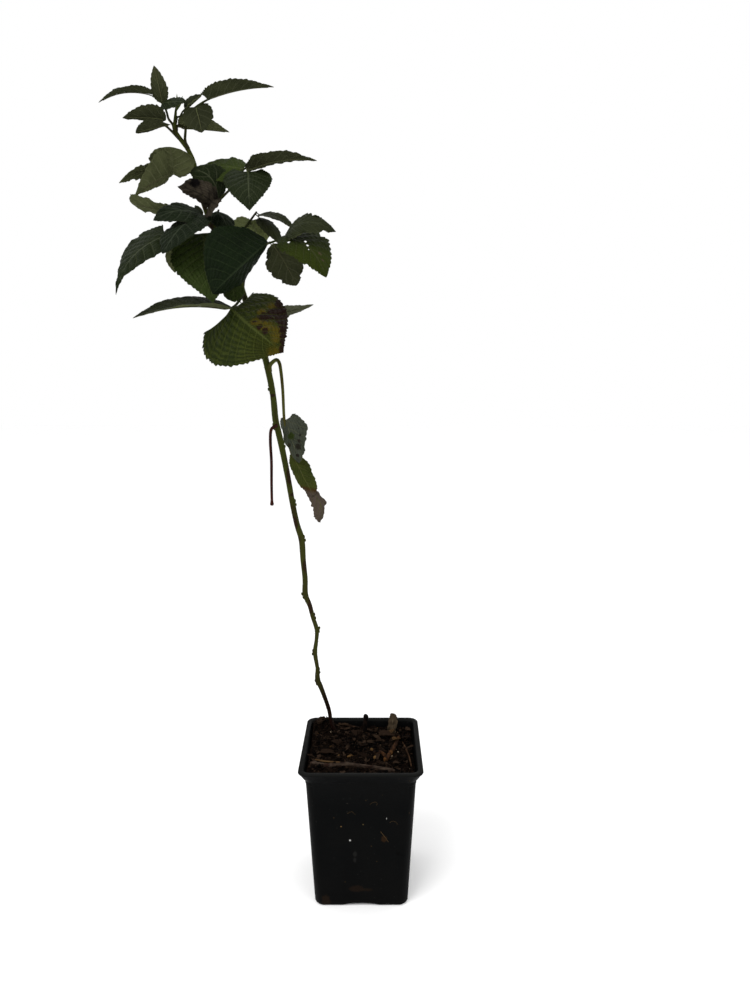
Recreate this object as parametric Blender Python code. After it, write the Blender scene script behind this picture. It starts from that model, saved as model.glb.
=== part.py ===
"""Raspberry cane in a square nursery pot.

Metres, +Z up. The origin is the middle of the pot's base, +Y points to the pot's back.
Positions along the plant are given in millimetres through mm() and sit in the same frame.
"""
import math

import bpy
import bmesh
from mathutils import Matrix, Vector, noise

# Driving dimensions of the pot
POT_WIDTH = 0.110
POT_HEIGHT = 0.136
POT_BODY_TOP = 0.098
POT_BODY_FOOT = 0.085
POT_CORNER = 0.0085
POT_WALL = 0.0012
RIM_LIP = 0.0042
COLLAR_DROP = 0.0105
FLOOR_THICKNESS = 0.0032
NOTCH_WIDTH = 0.034
NOTCH_RISE = 0.0020
DRAIN_RADIUS = 0.0042

# Soil, gaps and blade thickness
SOIL_LEVEL = 0.1305
SEAT_GAP = 0.0003
STALK_GAP = 0.0005
BLADE_THICKNESS = 0.0008
CANE_SIDES = 8
STALK_SIDES = 6
RIB_SIDES = 4
SHARP_ANGLE = math.radians(38)


def mm(x, y, z):
    """A position given in millimetres."""
    return Vector((x, y, z)) * 0.001


def clear_scene():
    """Remove every object that the start-up scene holds."""
    for item in list(bpy.data.objects):
        bpy.data.objects.remove(item, do_unlink=True)


def make_material(name, colour, roughness):
    """A plain non-metallic material."""
    material = bpy.data.materials.new(name)
    material.use_nodes = True
    shader = material.node_tree.nodes["Principled BSDF"]
    shader.inputs["Base Color"].default_value = (*colour, 1.0)
    shader.inputs["Roughness"].default_value = roughness
    shader.inputs["Metallic"].default_value = 0.0
    return material


def object_from_bmesh(name, bm, material=None):
    """Turn a bmesh into a linked object."""
    mesh = bpy.data.meshes.new(name)
    bm.to_mesh(mesh)
    bm.free()
    item = bpy.data.objects.new(name, mesh)
    bpy.context.scene.collection.objects.link(item)
    if material:
        mesh.materials.append(material)
    return item


def island_of(start):
    """Every vertex that hangs together with the given one."""
    found = {start}
    waiting = [start]
    while waiting:
        for edge in waiting.pop().link_edges:
            for vert in edge.verts:
                if vert not in found:
                    found.add(vert)
                    waiting.append(vert)
    return found


def tidy_union(mesh):
    """Remove loose scrap and split the faces that a union leaves into triangles."""
    bm = bmesh.new()
    bm.from_mesh(mesh)
    rest = set(bm.verts)
    islands = []
    while rest:
        island = island_of(next(iter(rest)))
        islands.append(island)
        rest -= island
    islands.sort(key=len)
    for island in islands[:-1]:
        bmesh.ops.delete(bm, geom=list(island), context="VERTS")
    bmesh.ops.connect_verts_concave(bm, faces=bm.faces)
    bmesh.ops.triangulate(bm, faces=bm.faces, quad_method="BEAUTY", ngon_method="EAR_CLIP")
    bm.to_mesh(mesh)
    bm.free()


def combine(item, parts, operation, solver="EXACT"):
    """Join or cut an object with a whole collection of others, then remove them."""
    group = bpy.data.collections.new(item.name + "_tools")
    bpy.context.scene.collection.children.link(group)
    for part in parts:
        part.data.materials.clear()
        part.data.materials.append(item.data.materials[0])
        bpy.context.scene.collection.objects.unlink(part)
        group.objects.link(part)
    step = item.modifiers.new(operation.lower(), "BOOLEAN")
    step.operation = operation
    step.operand_type = "COLLECTION"
    step.collection = group
    step.solver = solver
    bpy.context.view_layer.update()
    graph = bpy.context.evaluated_depsgraph_get()
    result = bpy.data.meshes.new_from_object(item.evaluated_get(graph))
    item.modifiers.clear()
    item.data = result
    if operation == "UNION":
        tidy_union(result)
    for part in parts:
        bpy.data.objects.remove(part, do_unlink=True)
    bpy.data.collections.remove(group)


def smooth_route(points, steps):
    """A smooth curve through the given points, with a few steps between each pair."""
    ends = [points[0] * 2 - points[1], *points, points[-1] * 2 - points[-2]]
    route = []
    for i in range(1, len(ends) - 2):
        a, b, c, d = ends[i - 1:i + 3]
        for k in range(steps):
            t = k / steps
            route.append(0.5 * (2 * b + (c - a) * t + (2 * a - 5 * b + 4 * c - d) * t ** 2
                                + (3 * b - a - 3 * c + d) * t ** 3))
    route.append(points[-1].copy())
    return route


def tube(name, route, radii, sides, material=None):
    """A closed round stalk along a route, with a radius for every point."""
    curve = bpy.data.curves.new(name, "CURVE")
    curve.dimensions = "3D"
    curve.bevel_depth = 1.0
    curve.bevel_resolution = sides // 2 - 2
    curve.use_fill_caps = True
    spline = curve.splines.new("POLY")
    spline.points.add(len(route) - 1)
    for point, place, radius in zip(spline.points, route, radii):
        point.co = (*place, 1.0)
        point.radius = radius
    guide = bpy.data.objects.new(name + "_guide", curve)
    bpy.context.scene.collection.objects.link(guide)
    bpy.context.view_layer.update()
    graph = bpy.context.evaluated_depsgraph_get()
    mesh = bpy.data.meshes.new_from_object(guide.evaluated_get(graph))
    bpy.data.objects.remove(guide, do_unlink=True)
    bm = bmesh.new()
    bm.from_mesh(mesh)
    bpy.data.meshes.remove(mesh)
    bmesh.ops.remove_doubles(bm, verts=bm.verts, dist=1e-6)
    bmesh.ops.recalc_face_normals(bm, faces=bm.faces)
    return object_from_bmesh(name, bm, material)


def taper(count, start, end):
    """Evenly changing radii."""
    return [start + (end - start) * i / (count - 1) for i in range(count)]


# Pot

# Straight pieces that each rounded corner is made of
CORNER_STEPS = 4


def rounded_square(half, corner, z):
    """Points of a square with round corners, seen from above, anticlockwise."""
    points = []
    for quarter in range(4):
        turn = quarter * math.pi / 2
        middle = Vector((half - corner, half - corner))
        for k in range(CORNER_STEPS + 1):
            angle = k / CORNER_STEPS * math.pi / 2
            flat = middle + corner * Vector((math.cos(angle), math.sin(angle)))
            flat.rotate(Matrix.Rotation(turn, 2))
            points.append(Vector((flat.x, flat.y, z)))
    return points


def loft(name, rings, material=None, peak=None):
    """A closed solid through a stack of loops, with flat ends or, on top, a centre point at the peak."""
    bm = bmesh.new()
    count = len(rings[0])
    verts = [bm.verts.new(point) for point in rings[0]]
    edges = [bm.edges.new((verts[i], verts[(i + 1) % count])) for i in range(count)]
    bmesh.ops.holes_fill(bm, edges=edges, sides=0)
    for ring in rings[1:]:
        grown = bmesh.ops.extrude_edge_only(bm, edges=edges)["geom"]
        fresh = {piece for piece in grown if isinstance(piece, bmesh.types.BMVert)}
        verts = [next(e.other_vert(v) for e in v.link_edges if e.other_vert(v) in fresh) for v in verts]
        for vert, point in zip(verts, ring):
            vert.co = point
        edges = [bm.edges.get((verts[i], verts[(i + 1) % count])) for i in range(count)]
    top = bmesh.ops.holes_fill(bm, edges=edges, sides=0)["faces"]
    if peak is not None:
        centre = bmesh.ops.poke(bm, faces=top)["verts"][0]
        centre.co.z = peak
        bmesh.ops.triangulate(bm, faces=bm.faces)
    bmesh.ops.recalc_face_normals(bm, faces=bm.faces)
    return object_from_bmesh(name, bm, material)


def body_half(z):
    """Half the width of the pot's tapered body at a height."""
    top = POT_HEIGHT - COLLAR_DROP
    return (POT_BODY_FOOT + (POT_BODY_TOP - POT_BODY_FOOT) * z / top) / 2


def inner_half(z):
    """Half the width of the space inside the body at a height."""
    return body_half(z) - POT_WALL


def pot_rings():
    """The pot's skin, from the base edge up the outside, over the lip and down the inside."""
    foot_round = 0.0022
    top = POT_HEIGHT - COLLAR_DROP
    lip = POT_WIDTH / 2
    outside = [
        (body_half(0) - foot_round, POT_CORNER - foot_round / 2, 0.0),
        (body_half(0) - foot_round * 0.3, POT_CORNER, foot_round * 0.3),
        (body_half(foot_round), POT_CORNER, foot_round),
        (body_half(top), POT_CORNER, top),
        (body_half(top) + 0.0006, POT_CORNER, top + 0.0006),
        (lip - 0.0008, POT_CORNER, POT_HEIGHT - 0.0028),
        (lip, POT_CORNER, POT_HEIGHT - 0.0016),
        (lip - 0.0004, POT_CORNER, POT_HEIGHT - 0.0003),
        (lip - 0.0012, POT_CORNER, POT_HEIGHT),
    ]
    inside = [
        (lip - RIM_LIP, POT_CORNER - 0.002, POT_HEIGHT),
        (lip - RIM_LIP - 0.0008, POT_CORNER - 0.0025, POT_HEIGHT - 0.0008),
        (inner_half(top), POT_CORNER - POT_WALL, top - 0.001),
        (inner_half(FLOOR_THICKNESS), POT_CORNER - POT_WALL, FLOOR_THICKNESS),
    ]
    return [rounded_square(*ring) for ring in outside + inside]


def notch_cutter(turn):
    """A shallow arch that lifts the middle of one lower edge off the ground."""
    radius = (NOTCH_WIDTH ** 2 / 4 + NOTCH_RISE ** 2) / (2 * NOTCH_RISE)
    reach = 0.012
    bm = bmesh.new()
    bmesh.ops.create_cone(bm, cap_ends=True, segments=96, radius1=radius, radius2=radius, depth=2 * reach)
    place = (Matrix.Rotation(turn, 4, "Z") @ Matrix.Translation((0, -POT_BODY_FOOT / 2, NOTCH_RISE - radius))
             @ Matrix.Rotation(math.pi / 2, 4, "X"))
    bmesh.ops.transform(bm, matrix=place, verts=bm.verts)
    return object_from_bmesh("notch", bm)


def drain_cutter(x, y):
    """A hole through the pot's floor."""
    bm = bmesh.new()
    bmesh.ops.create_cone(bm, cap_ends=True, segments=12, radius1=DRAIN_RADIUS, radius2=DRAIN_RADIUS,
                          depth=6 * FLOOR_THICKNESS)
    bmesh.ops.translate(bm, verts=bm.verts, vec=(x, y, 0))
    return object_from_bmesh("drain", bm)


def build_pot(material):
    """The moulded pot: tapered body, flared collar, flat lip, notched and drained base."""
    pot = loft("pot", pot_rings(), material)
    cutters = [notch_cutter(quarter * math.pi / 2) for quarter in range(4)]
    corner = 0.026
    for x in (-corner, corner):
        for y in (-corner, corner):
            cutters.append(drain_cutter(x, y))
    combine(pot, cutters, "DIFFERENCE")
    return pot


# Cane

# The cane's centre line and radius, in millimetres, from its foot in the compost to the tip
CANE_ROUTE = [
    (-13.8, 36, 95, 2.25), (-21.8, 34, 116, 2.15), (-26.3, 33, 130, 2.05), (-30.2, 33, 141, 1.9),
    (-32.2, 34, 153, 1.9), (-35.5, 33, 165, 2), (-40, 33, 178, 2.3), (-43, 33, 186, 2.6),
    (-43, 32, 198, 1.8), (-45, 32, 213, 2.2), (-43.5, 32, 226, 1.85), (-43, 31, 237, 2.1),
    (-46.5, 31, 249, 2), (-49.2, 30, 261, 2.2), (-53.2, 30, 272, 2.7), (-53.2, 30, 287, 2.5),
    (-54.7, 30, 305, 2.6), (-55.7, 29, 325, 2.9), (-59.7, 28, 340, 2.6), (-63.7, 28, 361, 2.6),
    (-66.7, 27, 381, 2.6), (-70.7, 26, 405, 2.7), (-74.7, 26, 425, 2.8), (-77.2, 26, 437, 2.9),
    (-78.7, 25, 458, 2.7), (-82.7, 25, 481, 2.8), (-88.7, 24, 507, 2.9), (-97.4, 23, 532, 2.7),
    (-102.9, 22, 548, 2.7), (-106, 22, 562, 2.5), (-112, 21, 577, 2.5), (-120, 20, 592, 2.3),
    (-127.5, 20, 604, 2.2), (-131.5, 19, 614, 2), (-136.5, 18, 632, 1.9), (-139.5, 18, 651, 1.8),
    (-144, 17, 662, 1.85), (-149, 16.5, 669, 1.85), (-154, 16, 677, 1.75), (-153.5, 16, 686, 1.35),
    (-152.5, 17, 696, 0.75),
]

# Bud scars and buds that stand out of the cane: height, direction as seen from above, length, radius
BUDS = [
    (0.1840, 185, 3.6, 1.5), (0.2140, 180, 3.4, 1.3), (0.2370, 10, 4.4, 1.4), (0.2500, 20, 3.8, 1.2),
    (0.2720, 190, 4.2, 1.5), (0.3260, 0, 4.6, 1.5), (0.3600, 15, 4.4, 1.4), (0.4140, 350, 4.0, 1.3),
    (0.4310, 195, 4.6, 1.6), (0.4660, 170, 3.8, 1.3), (0.1950, 30, 3.0, 1.1),
]


def cane_points():
    """The cane's route in metres."""
    return [mm(*row[:3]) for row in CANE_ROUTE]


def cane_at(height):
    """Centre, upward direction and radius of the cane at a height above the pot's base."""
    points = cane_points()
    for i in range(len(points) - 1):
        low, high = points[i], points[i + 1]
        if low.z <= height <= high.z:
            share = (height - low.z) / (high.z - low.z)
            radius = CANE_ROUTE[i][3] + (CANE_ROUTE[i + 1][3] - CANE_ROUTE[i][3]) * share
            return low.lerp(high, share), (high - low).normalized(), radius * 0.001
    raise ValueError("height is not on the cane")


def outward(direction, turn):
    """The unit vector that leaves the cane square to it, towards a compass turn seen from above."""
    angle = math.radians(turn)
    flat = Vector((math.cos(angle), math.sin(angle), 0.0))
    return (flat - direction * flat.dot(direction)).normalized()


def bud(height, turn, length, radius):
    """A short blunt bud on the cane, with its root sunk in."""
    centre, direction, _ = cane_at(height)
    out = outward(direction, turn)
    tip = centre + out * length * 0.001 + direction * 0.0016
    route = [centre, centre.lerp(tip, 0.55), centre.lerp(tip, 0.85), tip]
    width = radius * 0.001
    return tube("bud", route, [width, width, width * 0.8, width * 0.3], RIB_SIDES)


def build_cane(material):
    """The cane from its foot in the soil to the growing tip, with buds and the tip's folded leaves."""
    radii = [row[3] * 0.001 for row in CANE_ROUTE]
    cane = tube("cane", cane_points(), radii, CANE_SIDES, material)
    parts = [bud(*row) for row in BUDS]
    top = cane_points()[-1]
    for tip in (mm(-151, 15, 705), mm(-146, 14, 703)):
        parts.append(tube("tip", [top - Vector((0, 0, 0.003)), top.lerp(tip, 0.5), tip],
                          [0.0008, 0.0013, 0.0003], RIB_SIDES))
    combine(cane, parts, "UNION")
    return cane


# Leaves

def blade_width(t, head, tail):
    """Half width of an egg-shaped leaflet along its midrib, as a share of the widest."""
    widest = head / (head + tail)
    return (t / widest) ** head * ((1.0 - t) / (1.0 - widest)) ** tail


def blade_surface(base, tip, width, facing, arch=0.0, fold=0.0, fold_right=None, twist=0.0, curl=0.0,
                  heart=0.0, crumple=0.0, sway=0.0, head=0.5, tail=0.9, left=1.0, right=1.0):
    """A function from (along, across) to a point of one leaflet's middle surface.

    Along runs from 0 at the base to 1 at the tip, and across from -1 at the left margin to 1 at the
    right one, as seen with the upper face towards the eye and the tip up. Lengths are in millimetres
    and angles in degrees. fold raises the margins, arch lifts the middle of the midrib, curl bends the
    margins, twist turns the tip about the midrib, heart sets the basal lobes back, sway bends the
    midrib sideways and crumple is the size of the creases. A small head rounds the base and a large
    tail sharpens the tip. left and right scale the width of one half.
    """
    start = mm(*base)
    end = mm(*tip)
    chord = end - start
    ahead = chord.normalized()
    up = Vector(facing)
    up = (up - ahead * up.dot(ahead)).normalized()
    beside = ahead.cross(up)
    folds = (math.radians(fold), math.radians(fold if fold_right is None else fold_right))

    def surface(along, across):
        bow = 4 * along * (1 - along)
        spine = start + chord * along + up * arch * 0.001 * bow + beside * sway * 0.001 * bow
        turn = Matrix.Rotation(math.radians(twist) * along, 3, ahead)
        side = turn @ beside
        rise = turn @ up
        half = width * 0.0005 * blade_width(along, head, tail) * abs(across) * (left if across < 0 else right)
        lean = folds[0] if across < 0 else folds[1]
        offset = side * half * math.cos(lean) * (1 if across > 0 else -1) + rise * half * math.sin(lean)
        offset += rise * curl * 0.001 * across * across * blade_width(along, head, tail)
        offset -= ahead * heart * 0.001 * abs(across) ** 1.5 * (1 - along) ** 4 * min(along * 50, 1)
        place = spine + offset
        if crumple:
            loose = (abs(across) * 0.7 + 0.3) * min(along * 4, 1)
            place += noise.noise_vector(place * 90.0) * crumple * 0.001 * loose
        return place

    return surface


# How far the teeth stand out, as a share of the half width, and from what size basal lobes are rounded
TOOTH_OUT = 0.07
DEEP_HEART = 8


def blade(teeth, **shape):
    """One saw-edged leaflet of even thickness, triangulated alike on both faces."""
    surface = blade_surface(**shape)
    bm = bmesh.new()
    rib = [bm.verts.new(surface(k / teeth, 0.0)) for k in range(teeth + 1)]
    for side in (-1, 1):
        middle = [None] + [bm.verts.new(surface(k / teeth, side * 0.52)) for k in range(1, teeth)]
        edge = [rib[0]]
        for j in range(1, 2 * teeth):
            pointed = j % 2 == 1
            along = (j + (0.45 if pointed else 0.0)) / (2 * teeth)
            reach = 1.0 + TOOTH_OUT if pointed else 1.0 - TOOTH_OUT
            edge.append(bm.verts.new(surface(along, side * reach)))
        edge.append(rib[-1])
        faces = [(rib[0], rib[1], middle[1]), (rib[0], middle[1], edge[1]), (middle[1], edge[2], edge[1])]
        for k in range(1, teeth - 1):
            faces.append((rib[k], rib[k + 1], middle[k + 1]))
            faces.append((rib[k], middle[k + 1], middle[k]))
            faces.append((middle[k], edge[2 * k + 1], edge[2 * k]))
            faces.append((middle[k], middle[k + 1], edge[2 * k + 1]))
            faces.append((middle[k + 1], edge[2 * k + 2], edge[2 * k + 1]))
        faces.append((rib[-2], rib[-1], middle[-1]))
        faces.append((middle[-1], edge[-2], edge[-3]))
        faces.append((middle[-1], rib[-1], edge[-2]))
        if shape.get("heart", 0) >= DEEP_HEART:
            faces.append((rib[0], edge[1], bm.verts.new(surface(0.02, side))))
        for corners in faces:
            bm.faces.new(corners if side < 0 else corners[::-1])
    bmesh.ops.recalc_face_normals(bm, faces=bm.faces)
    item = object_from_bmesh("blade", bm)
    wall = item.modifiers.new("thickness", "SOLIDIFY")
    wall.thickness = BLADE_THICKNESS
    wall.offset = 0.0
    return item


def seat_on_cane(height, turn):
    """Where a leaf stalk starts: just clear of the cane's bark, and a step further out."""
    centre, direction, radius = cane_at(height)
    out = outward(direction, turn)
    return centre + out * (radius + STALK_GAP), centre + out * (radius + 0.0030)


def rib(lines, shape):
    """A leaflet's short stalk and raised midrib, from the nearest stalk into the blade."""
    form = {key: value for key, value in shape.items() if key != "teeth"}
    surface = blade_surface(**form)
    base = mm(*shape["base"])
    below = Vector(shape["facing"]).normalized() * -0.0003
    root = min((point for line in lines for point in line), key=lambda point: (point - base).length)
    route = [surface(0.05, 0.0) + below, surface(0.24, 0.0) + below * 0.5]
    radii = [0.0008, 0.0004]
    if (root - route[0]).length > 0.0003:
        route.insert(0, root)
        radii.insert(0, 0.0008)
    return tube("rib", route, radii, RIB_SIDES)


def leaf(name, material, height, turn, route, blades, stalk=(1.5, 0.8), rachis=()):
    """One leaf: a stalk that starts on the cane, side stalks, and its saw-edged leaflets."""
    points = [*seat_on_cane(height, turn), *[mm(*p) for p in route]]
    lines = [smooth_route(points, 1 if len(points) > 6 else 2)]
    radii = taper(len(lines[0]), stalk[0] * 0.001, stalk[1] * 0.001)
    item = tube(name, lines[0], radii, STALK_SIDES, material)
    parts = []
    for branch in rachis:
        lines.append(smooth_route([mm(*p) for p in branch], 2))
        parts.append(tube("branch", lines[-1], taper(len(lines[-1]), 0.0009, 0.0006), STALK_SIDES))
    for shape in blades:
        parts.append(blade(**shape))
        parts.append(rib(lines, shape))
    combine(item, parts, "UNION", "MANIFOLD")
    return item


def build_low_dead_leaf(material):
    """The lowest leaf, dead and crumpled, hanging straight down on its long stalk."""
    return leaf(
        "dead_leaf_low", material, 0.484, 330,
        [(-74, 14, 489), (-69.5, 9, 483), (-67.2, 6, 463), (-66, 6, 437), (-63, 6, 414), (-60, 6, 406)],
        [
            dict(teeth=6, base=(-61, 5, 442.3), tip=(-52, 0, 399), width=25, facing=(-0.2, -1, 0), arch=3,
                 fold=20, crumple=3, twist=20, sway=-4),
            dict(teeth=6, base=(-61, 6, 410), tip=(-34, 0, 346), width=15, facing=(0.3, -1, 0.1), arch=3,
                 fold=-20, crumple=1.2, twist=-20, sway=-1),
        ])


def build_dead_stalk(material):
    """A bare dark leaf stalk that hangs beside the cane."""
    points = [*seat_on_cane(0.431, 262), mm(-80, 17, 428), mm(-80.6, 14.5, 417), mm(-80, 14, 400),
              mm(-80.3, 13.5, 380), mm(-80.3, 13, 363), mm(-80.3, 13, 360)]
    line = smooth_route(points, 2)
    radii = taper(len(line), 0.0012, 0.0008)
    radii[-3:] = [0.0011, 0.0014, 0.0008]
    return tube("dead_stalk", line, radii, STALK_SIDES, material)


def build_leaf_01(material):
    """The lowest living leaf: a long left leaflet, a broad heart-shaped one in front, a small right one."""
    return leaf(
        "leaf_01", material, 0.545, 262,
        [(-103, 13, 541), (-105, 2, 535), (-107, -9, 531), (-104, -13, 529)],
        [
            dict(teeth=7, base=(-106, -8, 530), tip=(-185, -24, 522), width=26, facing=(0, -0.2, 1), arch=6,
                 fold=16, twist=-12),
            dict(teeth=9, base=(-107, -11, 531), tip=(-60, -46, 494), width=86, facing=(-0.42, -0.87, 0.18),
                 arch=4, fold=-58, fold_right=-2, heart=15, curl=-2, head=0.28, tail=1.1, left=0.9),
            dict(teeth=6, base=(-101, -6, 530), tip=(-39, -4, 534), width=20, facing=(0, 0.2, 1), arch=-4,
                 fold=14),
        ])


def build_leaf_02(material):
    """A small round young leaf on a thin stalk."""
    return leaf(
        "leaf_02", material, 0.571, 200,
        [(-116, 12, 567), (-112, 4, 557), (-107.5, 0, 549)],
        [dict(teeth=6, base=(-107, -1, 550), tip=(-104, -9, 536), width=18, facing=(0, -0.85, 0.5), curl=-1,
              heart=3)],
        stalk=(1.1, 0.6))


def build_leaf_03(material):
    """The large right-hand leaf: a broad front leaflet, a hanging pair seen from below, a ragged one."""
    return leaf(
        "leaf_03", material, 0.556, 20,
        [(-98, 14, 566), (-92, 8, 574), (-80, -4, 581), (-74, -8, 584)],
        [
            dict(teeth=8, base=(-82, -10, 585), tip=(-112, -56, 543), width=62, facing=(0.12, -0.97, -0.15),
                 arch=5, fold=-68, fold_right=-6, heart=9, left=0.85),
            dict(teeth=6, base=(-72, -6, 583), tip=(-52, 6, 552), width=34, facing=(0.2, 0.9, 0.5), arch=3,
                 fold=-8),
            dict(teeth=4, base=(-72, -4, 582), tip=(-67, 12, 556), width=16, facing=(0, 0.9, 0.3), arch=3,
                 fold=-8),
            dict(teeth=6, base=(-65, -9, 588), tip=(-27, -24, 554), width=34, facing=(0.2, -0.8, 0.7),
                 arch=10, fold=-10, curl=-2, sway=-3, right=0.55),
            dict(teeth=5, base=(-61, -8, 590), tip=(-19, -20, 590), width=17, facing=(0, -0.5, 0.9),
                 arch=13, fold=-16),
        ],
        rachis=[[(-78, -6, 582), (-82, -8, 584), (-85, -14, 583)], [(-76, -7, 583), (-66, -9, 586), (-60, -9, 589)]])


def build_leaf_04(material):
    """The leaf behind it: thin pale leaflets lit from behind, and two bent ones to the right."""
    return leaf(
        "leaf_04", material, 0.585, 60,
        [(-111, 30, 592), (-101, 35, 603), (-95, 38, 612), (-91, 38, 617)],
        [
            dict(teeth=5, base=(-94, 38, 611), tip=(-114, 31, 607), width=16, facing=(0, 0.6, 0.8),
                 fold=10),
            dict(teeth=5, base=(-95, 38, 610), tip=(-90, 48, 592), width=18, facing=(0, 0.9, 0.4), fold=-8),
            dict(teeth=5, base=(-93, 38, 615), tip=(-70, 30, 588), width=15, facing=(0.8, -0.5, 0.5),
                 arch=4, fold=-20),
            dict(teeth=5, base=(-90, 38, 614), tip=(-57, 26, 600), width=12, facing=(0.1, -0.1, 1), arch=3,
                 fold=20),
        ])


def build_leaf_05(material):
    """The dark leaflet that hangs to the left of the front one."""
    return leaf(
        "leaf_05", material, 0.592, 235,
        [(-127, 9, 591), (-131, 2, 588), (-132, -2, 585)],
        [dict(teeth=7, base=(-132, -1, 586), tip=(-117, -34, 533), width=46, facing=(0.1, -0.85, 0.4),
              arch=4, fold=-14, heart=4)],
        stalk=(1.4, 0.8))


def build_leaf_06(material):
    """The broad left-hand leaf, of four leaflets and a small unopened one."""
    return leaf(
        "leaf_06", material, 0.602, 225,
        [(-131, 10, 603), (-131.5, 4, 606), (-133, -1, 607), (-146, -6, 601), (-156, -12, 592)],
        [
            dict(teeth=8, base=(-155, -12, 592), tip=(-192, -44, 540), width=44, facing=(-0.35, -0.8, 0.4),
                 arch=5, fold=-10, twist=18, heart=10, sway=5, head=0.34),
            dict(teeth=6, base=(-133, 0, 607), tip=(-191, 4, 608), width=22, facing=(0, -0.05, 1), arch=8,
                 fold=8),
            dict(teeth=5, base=(-131, -2, 607), tip=(-165, -24, 598), width=24, facing=(0, -0.7, 0.8),
                 arch=3, fold=-8),
            dict(teeth=7, base=(-131, -4, 606), tip=(-149, -48, 570), width=34, facing=(-0.3, -0.75, 0.55),
                 arch=5, fold=-10),
            dict(teeth=3, base=(-131, 2, 606), tip=(-138, 8, 616), width=7, facing=(0, -1, 0.2), fold=30),
        ])


def build_leaf_07(material):
    """The leaf above the middle: three leaflets at the end of a thin stalk and one at its foot."""
    return leaf(
        "leaf_07", material, 0.611, 335,
        [(-124, 13, 614), (-118, 9, 620), (-103, 3, 632), (-97, 4, 642), (-93, 4, 645)],
        [
            dict(teeth=7, base=(-97, 4, 643), tip=(-87, -36, 602), width=46, facing=(0.1, -0.85, 0.5),
                 arch=5, fold=-10, heart=5, right=0.5),
            dict(teeth=6, base=(-94, 6, 643), tip=(-37, 0, 648), width=28, facing=(0, -0.2, 1), arch=4,
                 fold=16),
            dict(teeth=6, base=(-97, 7, 643), tip=(-130, 44, 658), width=34, facing=(0.1, -0.1, 1), arch=6,
                 fold=-10),
            dict(teeth=6, base=(-118, 9, 620), tip=(-141, 8, 641), width=26, facing=(-0.3, -0.8, 0.5),
                 arch=7, fold=-10, sway=6),
        ],
        stalk=(1.4, 0.7))


def build_upper_dead_leaf(material):
    """A brown dried leaf that hangs in front of the cane."""
    return leaf(
        "dead_leaf_upper", material, 0.619, 275,
        [(-131, 8, 619), (-125, 0, 617), (-120, -5, 616)],
        [
            dict(teeth=6, base=(-118, -5, 613), tip=(-144, -24, 624), width=26, facing=(-0.1, -0.9, -0.3),
                 arch=5, fold=-20, crumple=3, sway=4, left=0.6),
            dict(teeth=5, base=(-121, -5, 617), tip=(-127.5, -24, 602), width=15, facing=(-0.5, -0.9, 0.1),
                 arch=2, fold=-24, crumple=2),
        ],
        stalk=(1.1, 0.8))


def build_leaf_08(material):
    """A puckered dark leaflet below the dried leaf."""
    return leaf(
        "leaf_08", material, 0.606, 300,
        [(-121, 10, 608), (-118, 6, 612)],
        [dict(teeth=6, base=(-120, 7, 611), tip=(-107, -6, 588), width=22, facing=(0.4, -0.8, 0.6), arch=5,
              fold=-20)],
        stalk=(1.1, 0.8))


def build_leaf_09(material):
    """The upper left leaf, seen from below: three leaflets that overlap at the stalk's end."""
    return leaf(
        "leaf_09", material, 0.648, 215,
        [(-144, 13, 643), (-150, 10, 641), (-156, 6, 643)],
        [
            dict(teeth=7, base=(-153, 7, 643), tip=(-193, -16, 630), width=31, facing=(-0.1, 0.5, 0.85),
                 arch=6, fold=-8, heart=3, right=0.5),
            dict(teeth=5, base=(-154, 6, 644), tip=(-174, -36, 616), width=13, facing=(-0.3, 0.1, 0.9),
                 arch=8, fold=-8),
            dict(teeth=6, base=(-157, 6, 642), tip=(-161, 40, 672), width=28, facing=(0, -0.5, 0.9), arch=3,
                 fold=-8),
        ])


def build_leaf_10(material):
    """The upper right leaf, one long leaflet seen from below on a curved stalk."""
    return leaf(
        "leaf_10", material, 0.667, 340,
        [(-145, 14, 675), (-142.5, 10, 683), (-136, 4, 689), (-126, -2, 693), (-118, -6, 695)],
        [dict(teeth=8, base=(-121, -4, 694), tip=(-67, -20, 698), width=31, facing=(0, -0.06, 1), arch=6,
              fold=6, heart=6)],
        stalk=(1.3, 0.7))


def build_leaf_11(material):
    """A folded leaf to the left of the tip."""
    return leaf(
        "leaf_11", material, 0.6755, 200,
        [(-160, 13, 679), (-163, 9, 680)],
        [
            dict(teeth=7, base=(-161, 11, 678), tip=(-190, -12, 679), width=34, facing=(0.1, -0.65, 0.8),
                 arch=2, fold=12),
            dict(teeth=5, base=(-160, 9, 678), tip=(-174, -24, 663), width=14, facing=(0, -0.3, 0.9),
                 arch=3, fold=-10),
        ],
        stalk=(1.2, 0.8))


def build_leaf_12(material):
    """A leaf to the right of the tip, seen from below."""
    return leaf(
        "leaf_12", material, 0.6810, 30,
        [(-147, 19, 681), (-142, 20, 680)],
        [
            dict(teeth=7, base=(-145, 19, 679), tip=(-109, 16, 675), width=42, facing=(0.15, 0.75, 0.65),
                 arch=3, fold=60, fold_right=-4),
            dict(teeth=5, base=(-144, 20, 680), tip=(-128, 42, 686), width=22, facing=(0.1, -0.2, 1),
                 arch=3, fold=-8),
        ],
        stalk=(1.1, 0.8))


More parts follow.
